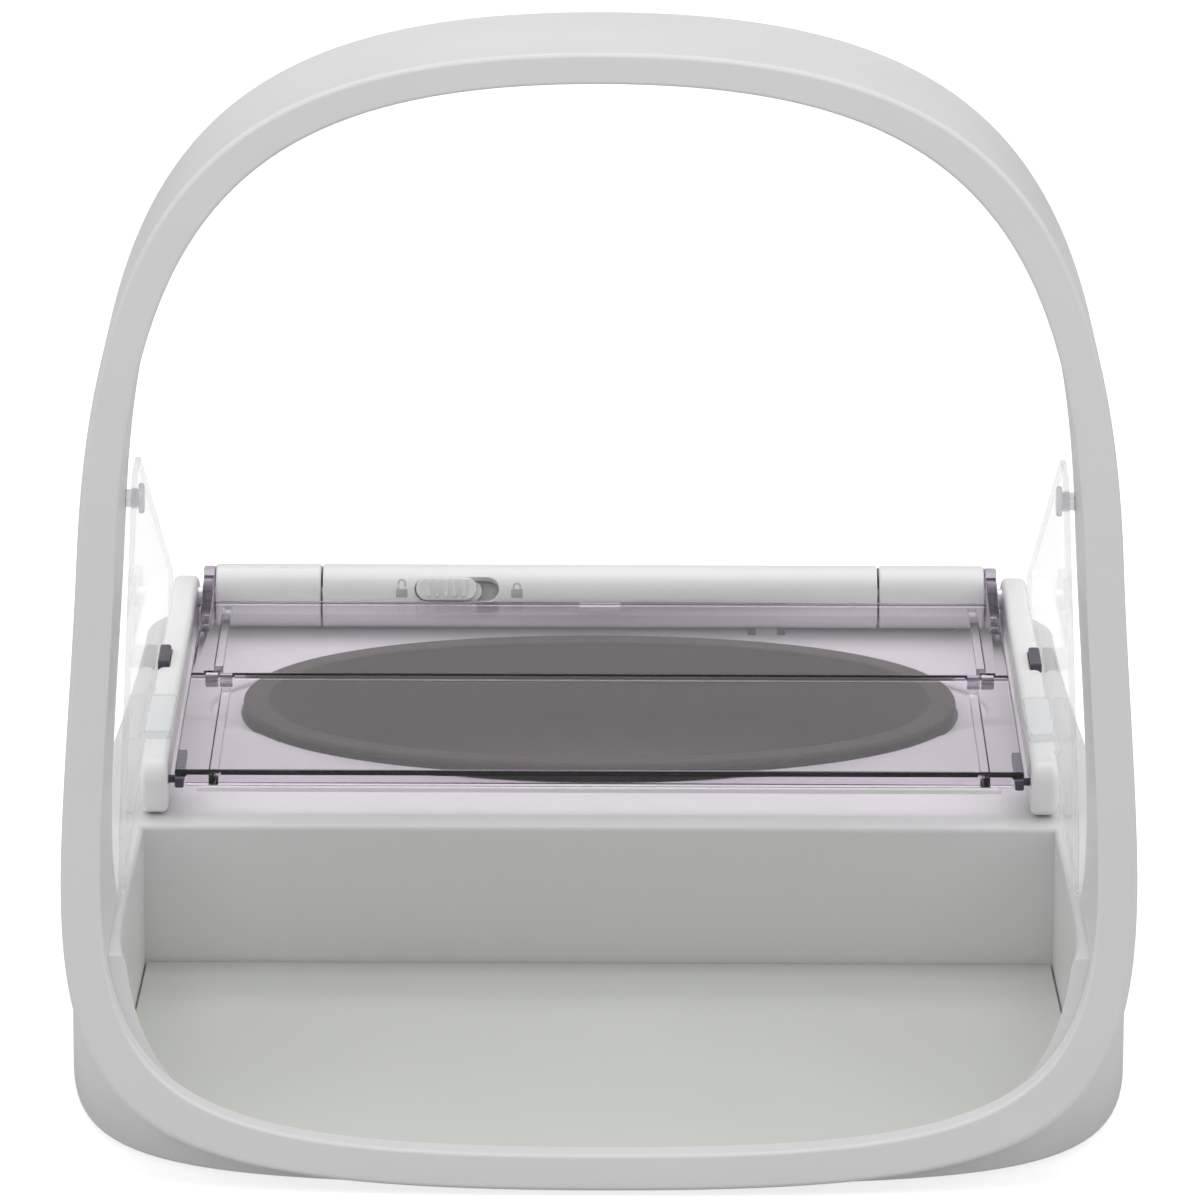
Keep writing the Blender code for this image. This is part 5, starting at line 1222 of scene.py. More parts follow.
@dataclass(frozen=True)
class Bowl:
    """The lift-out oval bowl with its flat rim."""

    rim_top: float = 0.0404
    rim_low: float = 0.0388
    rim_width: float = 0.0045
    rim_round: float = 0.0008
    wall: float = 0.0018
    floor: float = 0.0150
    draft: float = 0.012
    foot_round: float = 0.002
    foot_rise: float = 0.005
    bend: float = 0.0100
    bend_start: float = 0.6
    corner_in: float = 0.0012
    corner_up: float = 0.001
    centre_shares: tuple[float, float] = (0.5, 0.05)

    def build(self) -> None:
        """Stacks ovals from the middle of the underside, up the outside, over the rim and down the inside."""
        outside, inside = self.rim_width, self.rim_width + self.wall
        edge, rounded = (self.rim_top - self.rim_low) / 2, self.rim_round
        foot = quarter_round(7)[::-1] * self.foot_round + np.array([outside + self.draft, self.floor])
        turn = np.linspace(0, np.pi, 13)
        lip = np.stack([edge * (1 - np.sin(turn)), self.rim_low + edge * (1 - np.cos(turn))], axis=1)
        turn = np.linspace(0, np.pi / 2, 7)
        inwards, down = rounded * (1 - np.sin(turn)), rounded * (1 - np.cos(turn))
        drop = np.stack([inside - inwards, self.rim_top - down], axis=1)
        inner_floor = self.floor + self.wall
        wall_foot = inner_floor + self.foot_rise
        slope = self.draft / (self.rim_top - wall_foot)
        leave = self.bend * self.bend_start
        begin = np.array([inside + slope * (self.rim_top - wall_foot - leave), wall_foot + leave])
        corner = np.array([inside + self.draft + self.corner_in, inner_floor + self.corner_up])
        end = np.array([inside + self.draft + self.bend, inner_floor])
        hollow = bezier(begin, (begin + 2 * corner) / 3, (end + 2 * corner) / 3, end, np.linspace(0, 1, 12))
        rim_edge, rim_middle = [[outside, self.rim_low]], [[self.rim_width * 0.5, self.rim_top]]
        table = np.concatenate([foot, rim_edge, lip, rim_middle, drop, hollow])
        half_length, half_breadth = SIZE.bowl_half_length - table[:, 0], SIZE.bowl_half_breadth - table[:, 0]
        stack = np.stack([half_length, half_breadth, table[:, 1]], axis=1)
        first, last = stack[0], stack[-1]
        shares = np.array(self.centre_shares)[:, None]
        low = np.concatenate([first[None, :2] * shares[::-1], np.full((2, 1), first[2])], axis=1)
        high = np.concatenate([last[None, :2] * shares, np.full((2, 1), last[2])], axis=1)
        mesh = oval_rows("bowl", np.concatenate([low, stack, high]))
        flatten(put("bowl_oval", mesh, Body.BOWL, FINISH.bowl, ("bowl",)))


# The lid


@dataclass(frozen=True)
class Lid:
    """Two clear panels that fold at their pins, with rims, knuckles, arms, front bar, seal and guide shoes."""

    corner_radius: float = 0.0008
    edge_round: float = 0.0006
    small_round: float = 0.0003
    fold_gap: float = 0.0005
    overlap: float = 0.0009
    rim_inset: float = 0.0050
    rim_width: float = 0.0022
    rim_drop: float = 0.0022
    rim_gap: float = 0.00883
    rim_corner: float = 0.0004
    bar_inset: float = 0.0023
    bar_depth: float = 0.0032
    bar_drop: float = 0.0020
    bar_rounds: tuple[float, float] = (0.0004, 0.0006)
    plate_back: float = 0.121493
    band_drop: float = 0.003
    knuckle_radius: float = 0.0022
    knuckle_length: float = 0.003
    knuckle_inner: float = 0.0852
    knuckle_outer: float = 0.0885
    notch_gap: float = 0.00045
    notch_round: float = 0.0005
    pin_ends: tuple[float, float] = (0.079, 0.0955)
    pin_bore_radius: float = 0.0011
    hub_radius: float = 0.0075
    arm_inner: float = 0.0924
    arm_reach: float = 0.026
    arm_within: float = 0.0005
    seal_half: float = 0.09
    seal_gap: float = 0.0003
    seal_height: float = 0.0012
    seal_rounds: tuple[float, float] = (0.0004, 0.0005)
    sleeve_ends: tuple[float, float] = (0.0669, 0.0921)
    sleeve_radius: float = 0.008
    sleeve_round: float = 0.0006
    shoe_inner: float = 0.093
    shoe_length: float = 0.019
    shoe_height: float = 0.0022
    shoe_rounds: tuple[float, float] = (0.0003, 0.0005)
    guide_ends: tuple[float, float] = (0.094, 0.0996)
    guide_radius: float = 0.0009
    guide_round: float = 0.0002

    def plate(self, name: str, near: float, far: float) -> bpy.types.Mesh:
        """A plate with small corner rounds and softened edges."""
        half = SIZE.half_lid
        loop = rounded_outline([(-half, near), (half, near), (half, far), (-half, far)], self.corner_radius)
        return prism(name, Axis.Z, loop, SIZE.plate_low, SIZE.plate_high, self.edge_round)

    def hinge_part(self, side: Side, own: float, other: float) -> list[tuple[bpy.types.Mesh, Cut]]:
        """What the fold needs at one side of a panel: a notch for the other panel's knuckle, and its own.

        Args:
            side: the side of the lid.
            own: the inner end of the panel's own knuckle.
            other: the inner end of the other panel's knuckle.

        Returns:
            The notch and the knuckle, with how each is combined.
        """
        reach, gap = self.knuckle_radius + self.notch_round, self.notch_gap
        low, high = side.span(other - gap, other + self.knuckle_length + gap)
        notch = block("notch", (low, SIZE.fold_y - reach, 0.04), (high, SIZE.fold_y + reach, 0.055))
        ends = side.span(own, own + self.knuckle_length)
        rings = rounded_ends(self.knuckle_radius, *ends, self.small_round)
        return [(notch, Cut.AWAY), (turned("knuckle", Axis.X, (SIZE.fold_y, SIZE.axis_z), rings, 32), Cut.ON)]

    def pin_bore(self, side: Side) -> bpy.types.Mesh:
        """The bore for the fold's pin."""
        place, ends = (SIZE.fold_y, SIZE.axis_z), side.span(*self.pin_ends)
        return rod("bore", Axis.X, place, self.pin_bore_radius, ends, 24)

    def side_bar(self, side: Side, near: float, far: float, nested: bool) -> bpy.types.Mesh:
        """The stiffening rim under a panel's side; the front panel's pair nests inside the rear panel's.

        Args:
            side: the side of the lid.
            near: where the rim starts.
            far: where it ends.
            nested: whether it is the front panel's.

        Returns:
            The rim's block.
        """
        outer = SIZE.half_lid - self.rim_inset - (self.rim_width + self.small_round if nested else 0.0)
        low, high = side.span(outer - self.rim_width, outer)
        bottom, top = SIZE.plate_low - self.rim_drop, SIZE.plate_low + self.overlap
        return block("rim", (low, near, bottom), (high, far, top), self.small_round, self.rim_corner)

    def build(self) -> None:
        """Builds both panels and what rides on them."""
        fold, inner, outer = SIZE.fold_y, self.knuckle_inner, self.knuckle_outer
        rear_plate = self.plate("rear", fold + self.fold_gap, self.plate_back)
        rear = put("lid_rear_pane", rear_plate, Body.LID_REAR, FINISH.lid, ("lid_rear_panel",))
        front_plate = self.plate("front", SIZE.lid_front, fold - self.fold_gap)
        front = put("lid_front_pane", front_plate, Body.LID_FRONT, FINISH.lid, ("lid_front_panel",))
        half_bar, bar_low = SIZE.half_lid - self.bar_inset, SIZE.plate_low - self.bar_drop
        bar_end = (half_bar, SIZE.lid_front + self.bar_depth, SIZE.plate_low + self.overlap)
        bar = block("bar", (-half_bar, SIZE.lid_front, bar_low), bar_end, *self.bar_rounds)
        rear_steps, front_steps = [], [(bar, Cut.ON)]
        rear_rim = (fold + self.rim_gap, self.plate_back - self.rim_width)
        front_rim = (SIZE.lid_front + self.rim_width, fold - self.rim_gap)
        for side in Side:
            rear_steps += self.hinge_part(side, inner, outer)
            front_steps += self.hinge_part(side, outer, inner)
            rear_steps.append((self.side_bar(side, *rear_rim, False), Cut.ON))
            front_steps.append((self.side_bar(side, *front_rim, True), Cut.ON))
            rear_steps += self.arm(side)
            for steps in (rear_steps, front_steps):
                steps.append((self.pin_bore(side), Cut.AWAY))
            self.sleeve(side)
            self.shoe(side)
        combine(rear, rear_steps)
        combine(front, front_steps)
        # The third finish paints shade: its near-black tint on the small rounds and outer side faces draws the
        # panels' dark edge lines.
        finishes = (FINISH.lid, FINISH.lid_wall, FINISH.lid_painted_edge_shade, FINISH.lid_hub)
        band = (SIZE.plate_low - self.band_drop, SIZE.plate_high)
        for pane in (rear, front):
            edges_by_direction(pane, 2, band, self.plate_back + self.edge_round, finishes)
        self.seal(bar_low - self.seal_gap)

    def seal(self, top: float) -> None:
        """The pale seal under the front bar."""
        near, far = SIZE.lid_front + self.seal_gap, SIZE.lid_front + self.bar_depth - self.seal_gap
        low, high = (-self.seal_half, near, top - self.seal_height), (self.seal_half, far, top)
        mesh = block("seal", low, high, *self.seal_rounds)
        flatten(put("lid_seal", mesh, Body.LID_FRONT, FINISH.trim, ("lid_front_seal",)))

    def arm(self, side: Side) -> list[tuple[bpy.types.Mesh, Cut]]:
        """The arm that wraps the barrel's end: a tongue from the plate and a hub bored for the shaft.

        Args:
            side: the side of the lid.

        Returns:
            The tongue, the hub and the bore, with how each is combined.
        """
        low, high = side.span(self.arm_inner, SIZE.half_lid)
        reach, rounded = self.plate_back - self.arm_reach, self.small_round
        angle = np.radians(np.linspace(-90, 90, 25))
        within = self.hub_radius - self.arm_within
        hub = np.array(BARREL) + within * np.stack([np.cos(angle), np.sin(angle)], axis=1)
        loop = np.concatenate([[[reach, SIZE.plate_low + rounded]], hub, [[reach, SIZE.plate_high - rounded]]])
        arm = prism("arm", Axis.X, loop, low, high, rounded)
        hub_end = turned("hub", Axis.X, BARREL, rounded_ends(self.hub_radius, low, high, rounded), 64)
        bore = rod("bore", Axis.X, BARREL, SIZE.shaft_bore, (low - 0.001, high + 0.001))
        return [(arm, Cut.ON), (hub_end, Cut.ON), (bore, Cut.AWAY)]

    def sleeve(self, side: Side) -> None:
        """The white sleeve that turns with the lid at the barrel's end."""
        low, high = side.span(*self.sleeve_ends)
        outside = rounded_ends(self.sleeve_radius, low, high, self.sleeve_round)
        rings = np.concatenate([outside, [[SIZE.shaft_bore, high], [SIZE.shaft_bore, low]]])
        mesh = turned("sleeve", Axis.X, BARREL, rings, 96, wrap=True)
        nodes = (f"barrel_sleeve_{side.tag}",)
        flatten(put(f"sleeve_{side.tag}", mesh, Body.LID_REAR, FINISH.trim, nodes))

    def shoe(self, side: Side) -> None:
        """The dark shoe under the front corner, with the pin that runs in the pod's slot."""
        top = SIZE.plate_low - self.small_round
        low, high = side.span(self.shoe_inner, SIZE.half_lid)
        near, far = SIZE.lid_front, SIZE.lid_front + self.shoe_length
        body = block("shoe", (low, near, top - self.shoe_height), (high, far, top), *self.shoe_rounds)
        nodes = (f"guide_shoe_{side.tag}",)
        shoe = put(f"shoe_{side.tag}", body, Body.LID_FRONT, FINISH.peg, nodes)
        rings = rounded_ends(self.guide_radius, *side.span(*self.guide_ends), self.guide_round)
        pin = turned("pin", Axis.X, (SIZE.guide_y, SIZE.axis_z - SIZE.guide_drop), rings, 24)
        combine(shoe, [(pin, Cut.ON)])


# The sides


@dataclass(frozen=True)
class SideGear:
    """What stands beside the lid on each side: pod, clip, bracket, clear shield and its peg."""

    inner: float = 0.0965
    outer: float = 0.1026
    bottom: float = 0.0385
    top: float = 0.051
    pod_front: float = -0.018507
    pod_back: float = 0.140493
    pod_corner: float = 0.005
    pod_round: float = 0.0016
    open_angle: float = math.radians(82.0)
    link: float = 0.072
    slot_half: float = 0.0014
    slot_corner: float = 0.00134
    slot_depth: float = 0.0036
    bore_depth: float = 0.00335
    clip_inner: float = 0.1000
    clip_y: tuple[float, float] = (0.058493, 0.072493)
    clip_z: tuple[float, float] = (0.0499, 0.0524)
    clip_rounds: tuple[float, float] = (0.0005, 0.0007)
    seat_depth: float = 0.0029
    seat_gap: float = 0.0003
    seat_drop: float = 0.0014
    bracket_y: tuple[float, float] = (-0.000507, 0.028493)
    bracket_z: tuple[float, float] = (0.0513, 0.0534)
    bracket_rounds: tuple[float, float] = (0.0005, 0.0012)
    shield_x: tuple[float, float] = (0.1029, 0.1043)
    shield_top: float = 0.115
    shield_corner: float = 0.003
    shield_round: float = 0.0003
    foot_behind: float = 0.0453
    front_behind: float = 0.036
    back_behind: float = 0.051
    peg_behind: float = 0.0398
    peg_hole: float = 0.0023
    peg_rings: tuple[tuple[float, float], ...] = (
        (0.0008, 0.1014), (0.0030, 0.1014), (0.0034, 0.1017), (0.0034, 0.1024),
        (0.0032, 0.1026), (0.0020, 0.1026), (0.0020, 0.1062), (0.0017, 0.1065),
    )

    def pod(self, side: Side) -> None:
        """The rounded pod with its guide slot, clip seat and shaft bore."""
        front, back = self.pod_front, self.pod_back
        corners = [(front, self.bottom), (back, self.bottom), (back, self.top), (front, self.top)]
        low, high = side.span(self.inner, self.outer)
        loop = rounded_outline(corners, self.pod_corner, 12)
        mesh = prism("pod", Axis.X, loop, low, high, self.pod_round)
        pod = put(f"pod_{side.tag}", mesh, Body.HOUSING, FINISH.trim, (f"side_pod_{side.tag}",))
        half, drop, angle = self.slot_half, SIZE.guide_drop, self.open_angle
        travel = 2 * self.link * (1 - math.cos(angle)) + drop * math.sin(angle)
        near, far = SIZE.guide_y - half, SIZE.guide_y + travel + half
        floor, roof = SIZE.axis_z - drop - half, SIZE.axis_z - drop * math.cos(angle) + half
        slot_loop = rounded_outline([(near, floor), (far, floor), (far, roof), (near, roof)], self.slot_corner)
        inside = self.inner - 0.01
        slot = slab("slot", Axis.X, slot_loop, *side.span(inside, self.inner + self.slot_depth))
        bore = rod("bore", Axis.X, BARREL, SIZE.shaft_bore, side.span(inside, self.inner + self.bore_depth))
        low, high = side.span(self.outer - self.seat_depth, self.outer + 0.01)
        near, far = self.clip_y[0] - self.seat_gap, self.clip_y[1] + self.seat_gap
        seat = block("seat", (low, near, self.top - self.seat_drop), (high, far, 0.07))
        combine(pod, [(slot, Cut.AWAY), (bore, Cut.AWAY), (seat, Cut.AWAY)])

    def clip(self, side: Side) -> None:
        """The dark clip in the pod's top."""
        low, high = zip(side.span(self.clip_inner, self.outer), self.clip_y, self.clip_z)
        mesh = block("clip", low, high, *self.clip_rounds)
        flatten(put(f"clip_{side.tag}", mesh, Body.HOUSING, FINISH.peg, (f"shield_clip_{side.tag}",)))

    def bracket(self, side: Side) -> None:
        """The translucent block that holds the shield down on the pod."""
        low, high = zip(side.span(self.inner, self.outer), self.bracket_y, self.bracket_z)
        mesh = block("bracket", low, high, *self.bracket_rounds)
        nodes = (f"shield_bracket_{side.tag}",)
        flatten(put(f"bracket_{side.tag}", mesh, Body.HOUSING, FINISH.bracket, nodes))

    def shield(self, side: Side) -> None:
        """The clear side shield, paler and hazier at its edges, with the hole for its peg."""
        low, high = side.span(*self.shield_x)
        foot, knee, top = self.bottom, self.top, self.shield_top
        front, back = self.front_behind, self.back_behind
        points = [(behind_hoop(foot, self.foot_behind), foot), (self.pod_back, foot), (self.pod_back, knee)]
        points += [(behind_hoop(top, back), top), (behind_hoop(top, front), top), (behind_hoop(knee, front), knee)]
        loop = rounded_outline(points, self.shield_corner, 8)
        mesh = prism("shield", Axis.X, loop, low, high, self.shield_round)
        nodes = (f"side_shield_{side.tag}",)
        shield = put(f"shield_{side.tag}", mesh, Body.HOUSING, FINISH.shield, nodes)
        place = (behind_hoop(SIZE.peg_height, self.peg_behind), SIZE.peg_height)
        hole = rod("hole", Axis.X, place, self.peg_hole, (low - 0.01, high + 0.01))
        combine(shield, [(hole, Cut.AWAY)])
        edge = FINISH.shield_edge
        edges_by_direction(shield, 0, (-0.2, 0.2), 1.0, (FINISH.shield, edge, edge, edge))
        rings = np.array(self.peg_rings) * np.array([1, side.value])
        peg = turned("peg", Axis.X, place, rings, 40)
        flatten(put(f"peg_{side.tag}", peg, Body.HOUSING, FINISH.stud, (f"shield_peg_{side.tag}",)))

    def build(self) -> None:
        """Builds both sides."""
        for side in Side:
            self.pod(side)
            self.clip(side)
            self.bracket(side)
            self.shield(side)


# The rear housing


@dataclass(frozen=True)
class RearHousing:
    """The fixed middle of the barrel, the slope behind it, the lock slider, its signs, buttons and lens.

    Arc lengths are measured at the barrel's own surface, from straight up towards the front.
    """

    radius: float = 0.008
    half_centre: float = 0.0664
    half: float = 0.0955
    end_round: float = 0.0006
    back_gap: float = 0.0003
    back_height: float = 0.0455
    back_round: float = 0.006
    bottom: float = 0.0385
    wall: float = 0.0014
    recess_radius: float = 0.0085
    recess_front: float = 0.00425
    bore_half: float = 0.072
    window_place: tuple[float, float] = (0.137493, 0.033012)
    window_radius: float = 0.01078
    window_x: tuple[float, float] = (0.037, 0.043)
    catch_x: float = 0.005
    catch_y: tuple[float, float] = (0.122393, 0.1248)
    catch_z: tuple[float, float] = (0.044975, 0.046375)
    catch_rounds: tuple[float, float] = (0.0003, 0.0005)
    slot_centre: float = -0.0343
    slot_half: float = 0.0101
    slot_arc: float = 0.00824
    slot_radius: float = 0.00307
    groove_arc: float = 0.0125
    groove_half: float = 0.0502
    groove_radius: float = 0.0004
    knob_x: tuple[float, float] = (-0.0441, -0.0295)
    knob_gap: float = 0.0003
    flange_length: float = 0.0012
    flange_breadth: float = 0.0009
    ridge_half: float = 0.0021
    ridge_radius: float = 0.0005
    ridge_margin: float = 0.0031
    floor_length: float = 0.0030
    floor_breadth: float = 0.0025
    row_back: float = 0.011
    key_x: float = 0.015
    lens_hole: float = 0.0021
    sign_half: float = 0.0014
    sign_height: float = 0.0021
    sign_round: float = 0.0003
    shackle_radii: tuple[float, float] = (0.0010, 0.0006)
    shackle_foot: float = 0.0004
    shackle_rise: float = 0.0007

    def wrapped(self, name: str, outline: np.ndarray, layers: list[tuple[float, float]]) -> bpy.types.Mesh:
        """Wraps an outline drawn in (x, arc length) round the barrel, once for each layer.

        Args:
            name: the mesh's name.
            outline: the outline.
            layers: the radius of each layer, and how far the outline is moved inwards there.

        Returns:
            The closed mesh.
        """
        loops = np.stack([offset_loop(outline, inset) for _, inset in layers])
        angle = loops[..., 1] / self.radius
        reach = np.array([radius for radius, _ in layers])[:, None]
        y, z = SIZE.axis_y - reach * np.sin(angle), SIZE.axis_z + reach * np.cos(angle)
        return grid_mesh(name, np.stack([loops[..., 0], y, z], axis=-1))

    def slope(self) -> tuple[np.ndarray, np.ndarray]:
        """The slope's outward normal and its direction backwards, each as (y, z)."""
        edge = SIZE.rear_edge - self.back_gap
        back = np.array([edge - self.back_round, self.back_height - self.back_round]) - np.array(BARREL)
        angle = math.atan2(back[1], back[0]) + math.acos((self.radius - self.back_round) / np.hypot(*back))
        return np.array([math.cos(angle), math.sin(angle)]), np.array([math.sin(angle), -math.cos(angle)])

    def outline(self, inset: float, bottom: float) -> np.ndarray:
        """The housing's section: back round, slope, barrel, and the foot on the deck.

        Args:
            inset: the distance in from the outer surface.
            bottom: the height of the foot.

        Returns:
            The points (y, z).
        """
        normal, _ = self.slope()
        angle = math.atan2(normal[1], normal[0])
        edge = SIZE.rear_edge - self.back_gap
        turns = (np.linspace(0, angle, 10), np.linspace(angle, math.pi * 1.5, 40))
        centres = ((edge - self.back_round, self.back_height - self.back_round), BARREL)
        radii = (self.back_round - inset, self.radius - inset)
        arcs = [
            np.array(centre) + radius * np.stack([np.cos(turn), np.sin(turn)], axis=1)
            for centre, radius, turn in zip(centres, radii, turns)
        ]
        return np.concatenate([*arcs, [[SIZE.axis_y, bottom], [edge - inset, bottom]]])

    def on_slope(self, name: str, across: float, rings: list[tuple[float, float]], steps: int) -> bpy.types.Mesh:
        """Stands a turned shape on the slope, at the row of the buttons.

        Args:
            name: the mesh's name.
            across: its place across the housing.
            rings: radius of each circle and its height above the slope.
            steps: the points of each circle.

        Returns:
            The closed mesh.
        """
        mesh = turned(name, Axis.Z, (0, 0), np.array(rings), steps)
        normal, back = self.slope()
        foot = np.array(BARREL) + normal * self.radius + back * self.row_back
        turn = math.atan2(normal[0], normal[1])
        mesh.transform(Matrix.Translation((across, foot[0], foot[1])) @ Matrix.Rotation(-turn, 4, "X"))
        return mesh

    def openings(self) -> list[tuple[bpy.types.Mesh, Cut]]:
        """What is cut out of the cover.

        Returns:
            The cutters, with how each is combined.
        """
        steps = []
        for side in Side:
            low, high = side.span(self.half_centre, self.half + 0.01)
            front = block("front", (low, 0.0, 0.0), (high, SIZE.axis_y + self.recess_front, SIZE.axis_z))
            recess = rod("recess", Axis.X, BARREL, self.recess_radius, (low, high), 96)
            steps += [(front, Cut.AWAY), (recess, Cut.AWAY)]
        half = self.half_centre - self.wall
        hollow = slab("hollow", Axis.X, self.outline(self.wall, self.bottom - 0.01), -half, half)
        bore = rod("bore", Axis.X, BARREL, SIZE.shaft_bore, (-self.bore_half, self.bore_half))
        window = rod("window", Axis.X, self.window_place, self.window_radius, self.window_x, 64)
        slot_loop = stadium((self.slot_centre, self.slot_arc), self.slot_half, self.slot_radius)
        flare = [(0.0050, 0.0), (0.0076, 0.0), (0.0079, -0.0001), (0.0082, -0.0004), (0.0094, -0.0004)]
        key_hole = [(0.0049, -0.003), (0.0049, -0.0003), (0.0052, 0.0), (0.0052, 0.01)]
        lens_hole = [(self.lens_hole, -0.003), (self.lens_hole, 0.01)]
        groove = stadium((0.0, self.groove_arc), self.groove_half, self.groove_radius, 7)
        cutters = [hollow, bore, window, self.wrapped("slot", slot_loop, flare)]
        cutters += [self.on_slope("hole", across, key_hole, 64) for across in (-self.key_x, self.key_x)]
        cutters += [self.on_slope("hole", 0.0, lens_hole, 40)]
        cutters += [self.wrapped("groove", groove, [(0.0072, 0.0), (0.0084, 0.0)])]
        return steps + [(cutter, Cut.AWAY) for cutter in cutters]

    def build(self) -> None:
        """Builds the cover and what sits in it."""
        mesh = prism("cover", Axis.X, self.outline(0, self.bottom), -self.half, self.half, self.end_round)
        cover = put("housing_cover", mesh, Body.HOUSING, FINISH.trim, ("rear_cover",))
        limit = slab("limit", Axis.Z, mirrored(FOOTPRINT.half(0, 0, self.back_gap)), 0.0, 0.1)
        low, high = zip((-self.catch_x, self.catch_x), self.catch_y, self.catch_z)
        catch = block("catch", low, high, *self.catch_rounds)
        combine(cover, [(limit, Cut.WITHIN), *self.openings(), (catch, Cut.ON)])
        self.slider()
        self.floors()
        self.keys()
        self.signs()

    def slider(self) -> None:
        """The sliding knob with five ridges, over a flange inside the barrel."""
        low, high = self.knob_x
        centre, half = ((low + high) / 2, self.slot_arc), (high - low) / 2
        loop = stadium(centre, half, self.slot_radius - self.knob_gap)
        knob = self.wrapped("knob", loop, [(0.0060, 0.0), (0.0084, 0.0), (0.0086, 0.00012), (0.0087, 0.0004)])
        slider = put("lock_knob", knob, Body.LOCK, FINISH.trim, ("lock_slider",))
        wide = stadium(centre, half + self.flange_length, self.slot_radius + self.flange_breadth)
        steps = [(self.wrapped("flange", wide, [(0.0055, 0.0), (0.0063, 0.0)]), Cut.ON)]
        layers = [(0.0080, 0.0), (0.0088, 0.0), (0.0092, 0.00014), (0.0093, 0.0003)]
        upright = stadium((0.0, 0.0), self.ridge_half, self.ridge_radius, 7)[:, ::-1] * np.array([1.0, -1.0])
        for place in np.linspace(low + self.ridge_margin, high - self.ridge_margin, 5):
            steps.append((self.wrapped("ridge", upright + np.array([place, self.slot_arc]), layers), Cut.ON))
        combine(slider, steps)

    def floors(self) -> None:
        """The pale floor of the lock's slot, and a near-black strip in the long groove that paints the shade
        inside it.
        """
        centre = (self.slot_centre, self.slot_arc)
        wide = stadium(centre, self.slot_half + self.floor_length, self.slot_radius + self.floor_breadth)
        plate = self.wrapped("slot_floor", wide, [(0.0044, 0.0), (0.0050, 0.0)])
        put("slot_floor", plate, Body.HOUSING, FINISH.trim)
        # A near-black strip on the groove's floor paints the shade inside the groove.
        shade = stadium((0.0, self.groove_arc), self.groove_half - 0.0001, self.groove_radius - 0.0001, 7)
        strip = self.wrapped("groove_painted_shade_strip", shade, [(0.0071, 0.0), (0.0075, 0.0)])
        put("groove_painted_shade_strip", strip, Body.HOUSING, FINISH.groove)

    def keys(self) -> None:
        """The two buttons and the lens between them."""
        cap = [(0.0010, -0.0143), (0.0016, -0.0140), (0.0016, -0.0025), (0.0056, -0.0025), (0.0056, -0.0017)]
        cap += [(0.0046, -0.0017), (0.0046, 0.0006), (0.0043, 0.0009), (0.0036, 0.0010), (0.0020, 0.0008)]
        cap += [(0.0002, 0.0007)]
        for body, name, across in (
            (Body.ADD_PET_KEY, "button_add_pet", -self.key_x),
            (Body.OPEN_CLOSE_KEY, "button_open_close", self.key_x),
        ):
            mesh = self.on_slope(name, across, cap, 64)
            flatten(put(f"{name}_cap", mesh, body, FINISH.shell, (name,)))
        dome = [(0.0018, -0.0014), (0.0018, 0.0), (0.0016, 0.0003), (0.0009, 0.00045), (0.0001, 0.0005)]
        lens = self.on_slope("lens", 0.0, dome, 40)
        put("lens_dome", lens, Body.HOUSING, FINISH.lens, ("status_lens",))

    def padlock(self, across: float, lift: float) -> list[np.ndarray]:
        """The outlines of a padlock's body and shackle.

        Args:
            across: the place of its middle across the housing.
            lift: how far the shackle is raised on its open side.

        Returns:
            The two outlines.
        """
        low, high = across - self.sign_half, across + self.sign_half
        top, bottom = self.slot_arc, self.slot_arc + self.sign_height
        body = rounded_outline([(low, top), (high, top), (high, bottom), (low, bottom)], self.sign_round)
        outer, inner = self.shackle_radii
        foot, crown = top + self.shackle_foot, top - self.shackle_rise - lift
        turn = np.linspace(np.pi, 2 * np.pi, 13)
        arch = np.stack([np.cos(turn), np.sin(turn)], axis=1)
        middle = np.array([across, crown])
        right = [[across + outer, foot - lift], [across + inner, foot - lift]]
        left = [[across - inner, foot], [across - outer, foot]]
        shackle = np.concatenate([middle + outer * arch, right, middle + inner * arch[::-1], left])
        return [body, shackle]

    def signs(self) -> None:
        """An open and a closed padlock beside the slot, each a thin raised print of body and shackle."""
        layers = [(0.00785, 0.0), (0.00804, 0.0), (0.00806, 0.00006)]
        for tag, across, lift in (("open", -0.0475, 0.0009), ("closed", -0.0199, 0.0)):
            meshes = [self.wrapped("sign", loop, layers) for loop in self.padlock(across, lift)]
            whole = joined(f"padlock_{tag}", meshes)
            put(f"padlock_{tag}", whole, Body.HOUSING, FINISH.print_grey)


# Feet


def build_feet() -> None:
    """The four rubber feet, each a disc with a rounded edge and a ring groove."""
    across = 0.092
    rings = np.array([
        (0.0010, 0.0003), (0.0030, 0.0003), (0.0034, 0.0), (0.0062, 0.0),
        (0.0068, 0.0003), (0.0070, 0.0007), (0.0070, 0.0017), (0.0010, 0.0017),
    ])
    for place, y in (("front", -0.066507), ("rear", 0.115493)):
        for side in Side:
            foot = turned("foot", Axis.Z, (side.value * across, y), rings, 64)
            name = f"foot_{place}_{side.tag}"
            flatten(put(f"{name}_pad", foot, Body.HOUSING, FINISH.rubber, (name,)))


# Light and camera


def arithmetic(
    tree: bpy.types.NodeTree, operation: str, first: bpy.types.NodeSocket, second: object
) -> bpy.types.NodeSocket:
    """The result of one operation on a socket and another socket or a number."""
    return add_node(tree, "Math", {0: first, 1: second}, operation=operation).outputs[0]


@dataclass(frozen=True)
class Softbox:
    """A soft rectangular lamp that looks at a point."""

    name: str
    place: Point
    aim: Point
    size: tuple[float, float]
    watts: float

    def build(self) -> None:
        """Adds the lamp."""
        light = bpy.data.lights.new(self.name, "AREA")
        light.shape = "RECTANGLE"
        light.size, light.size_y = self.size
        light.energy = self.watts
        lamp = bpy.data.objects.new(self.name, light)
        lamp.location = self.place
        lamp.rotation_euler = (Vector(self.aim) - Vector(self.place)).to_track_quat("-Z", "Y").to_euler()
        bpy.context.scene.collection.objects.link(lamp)


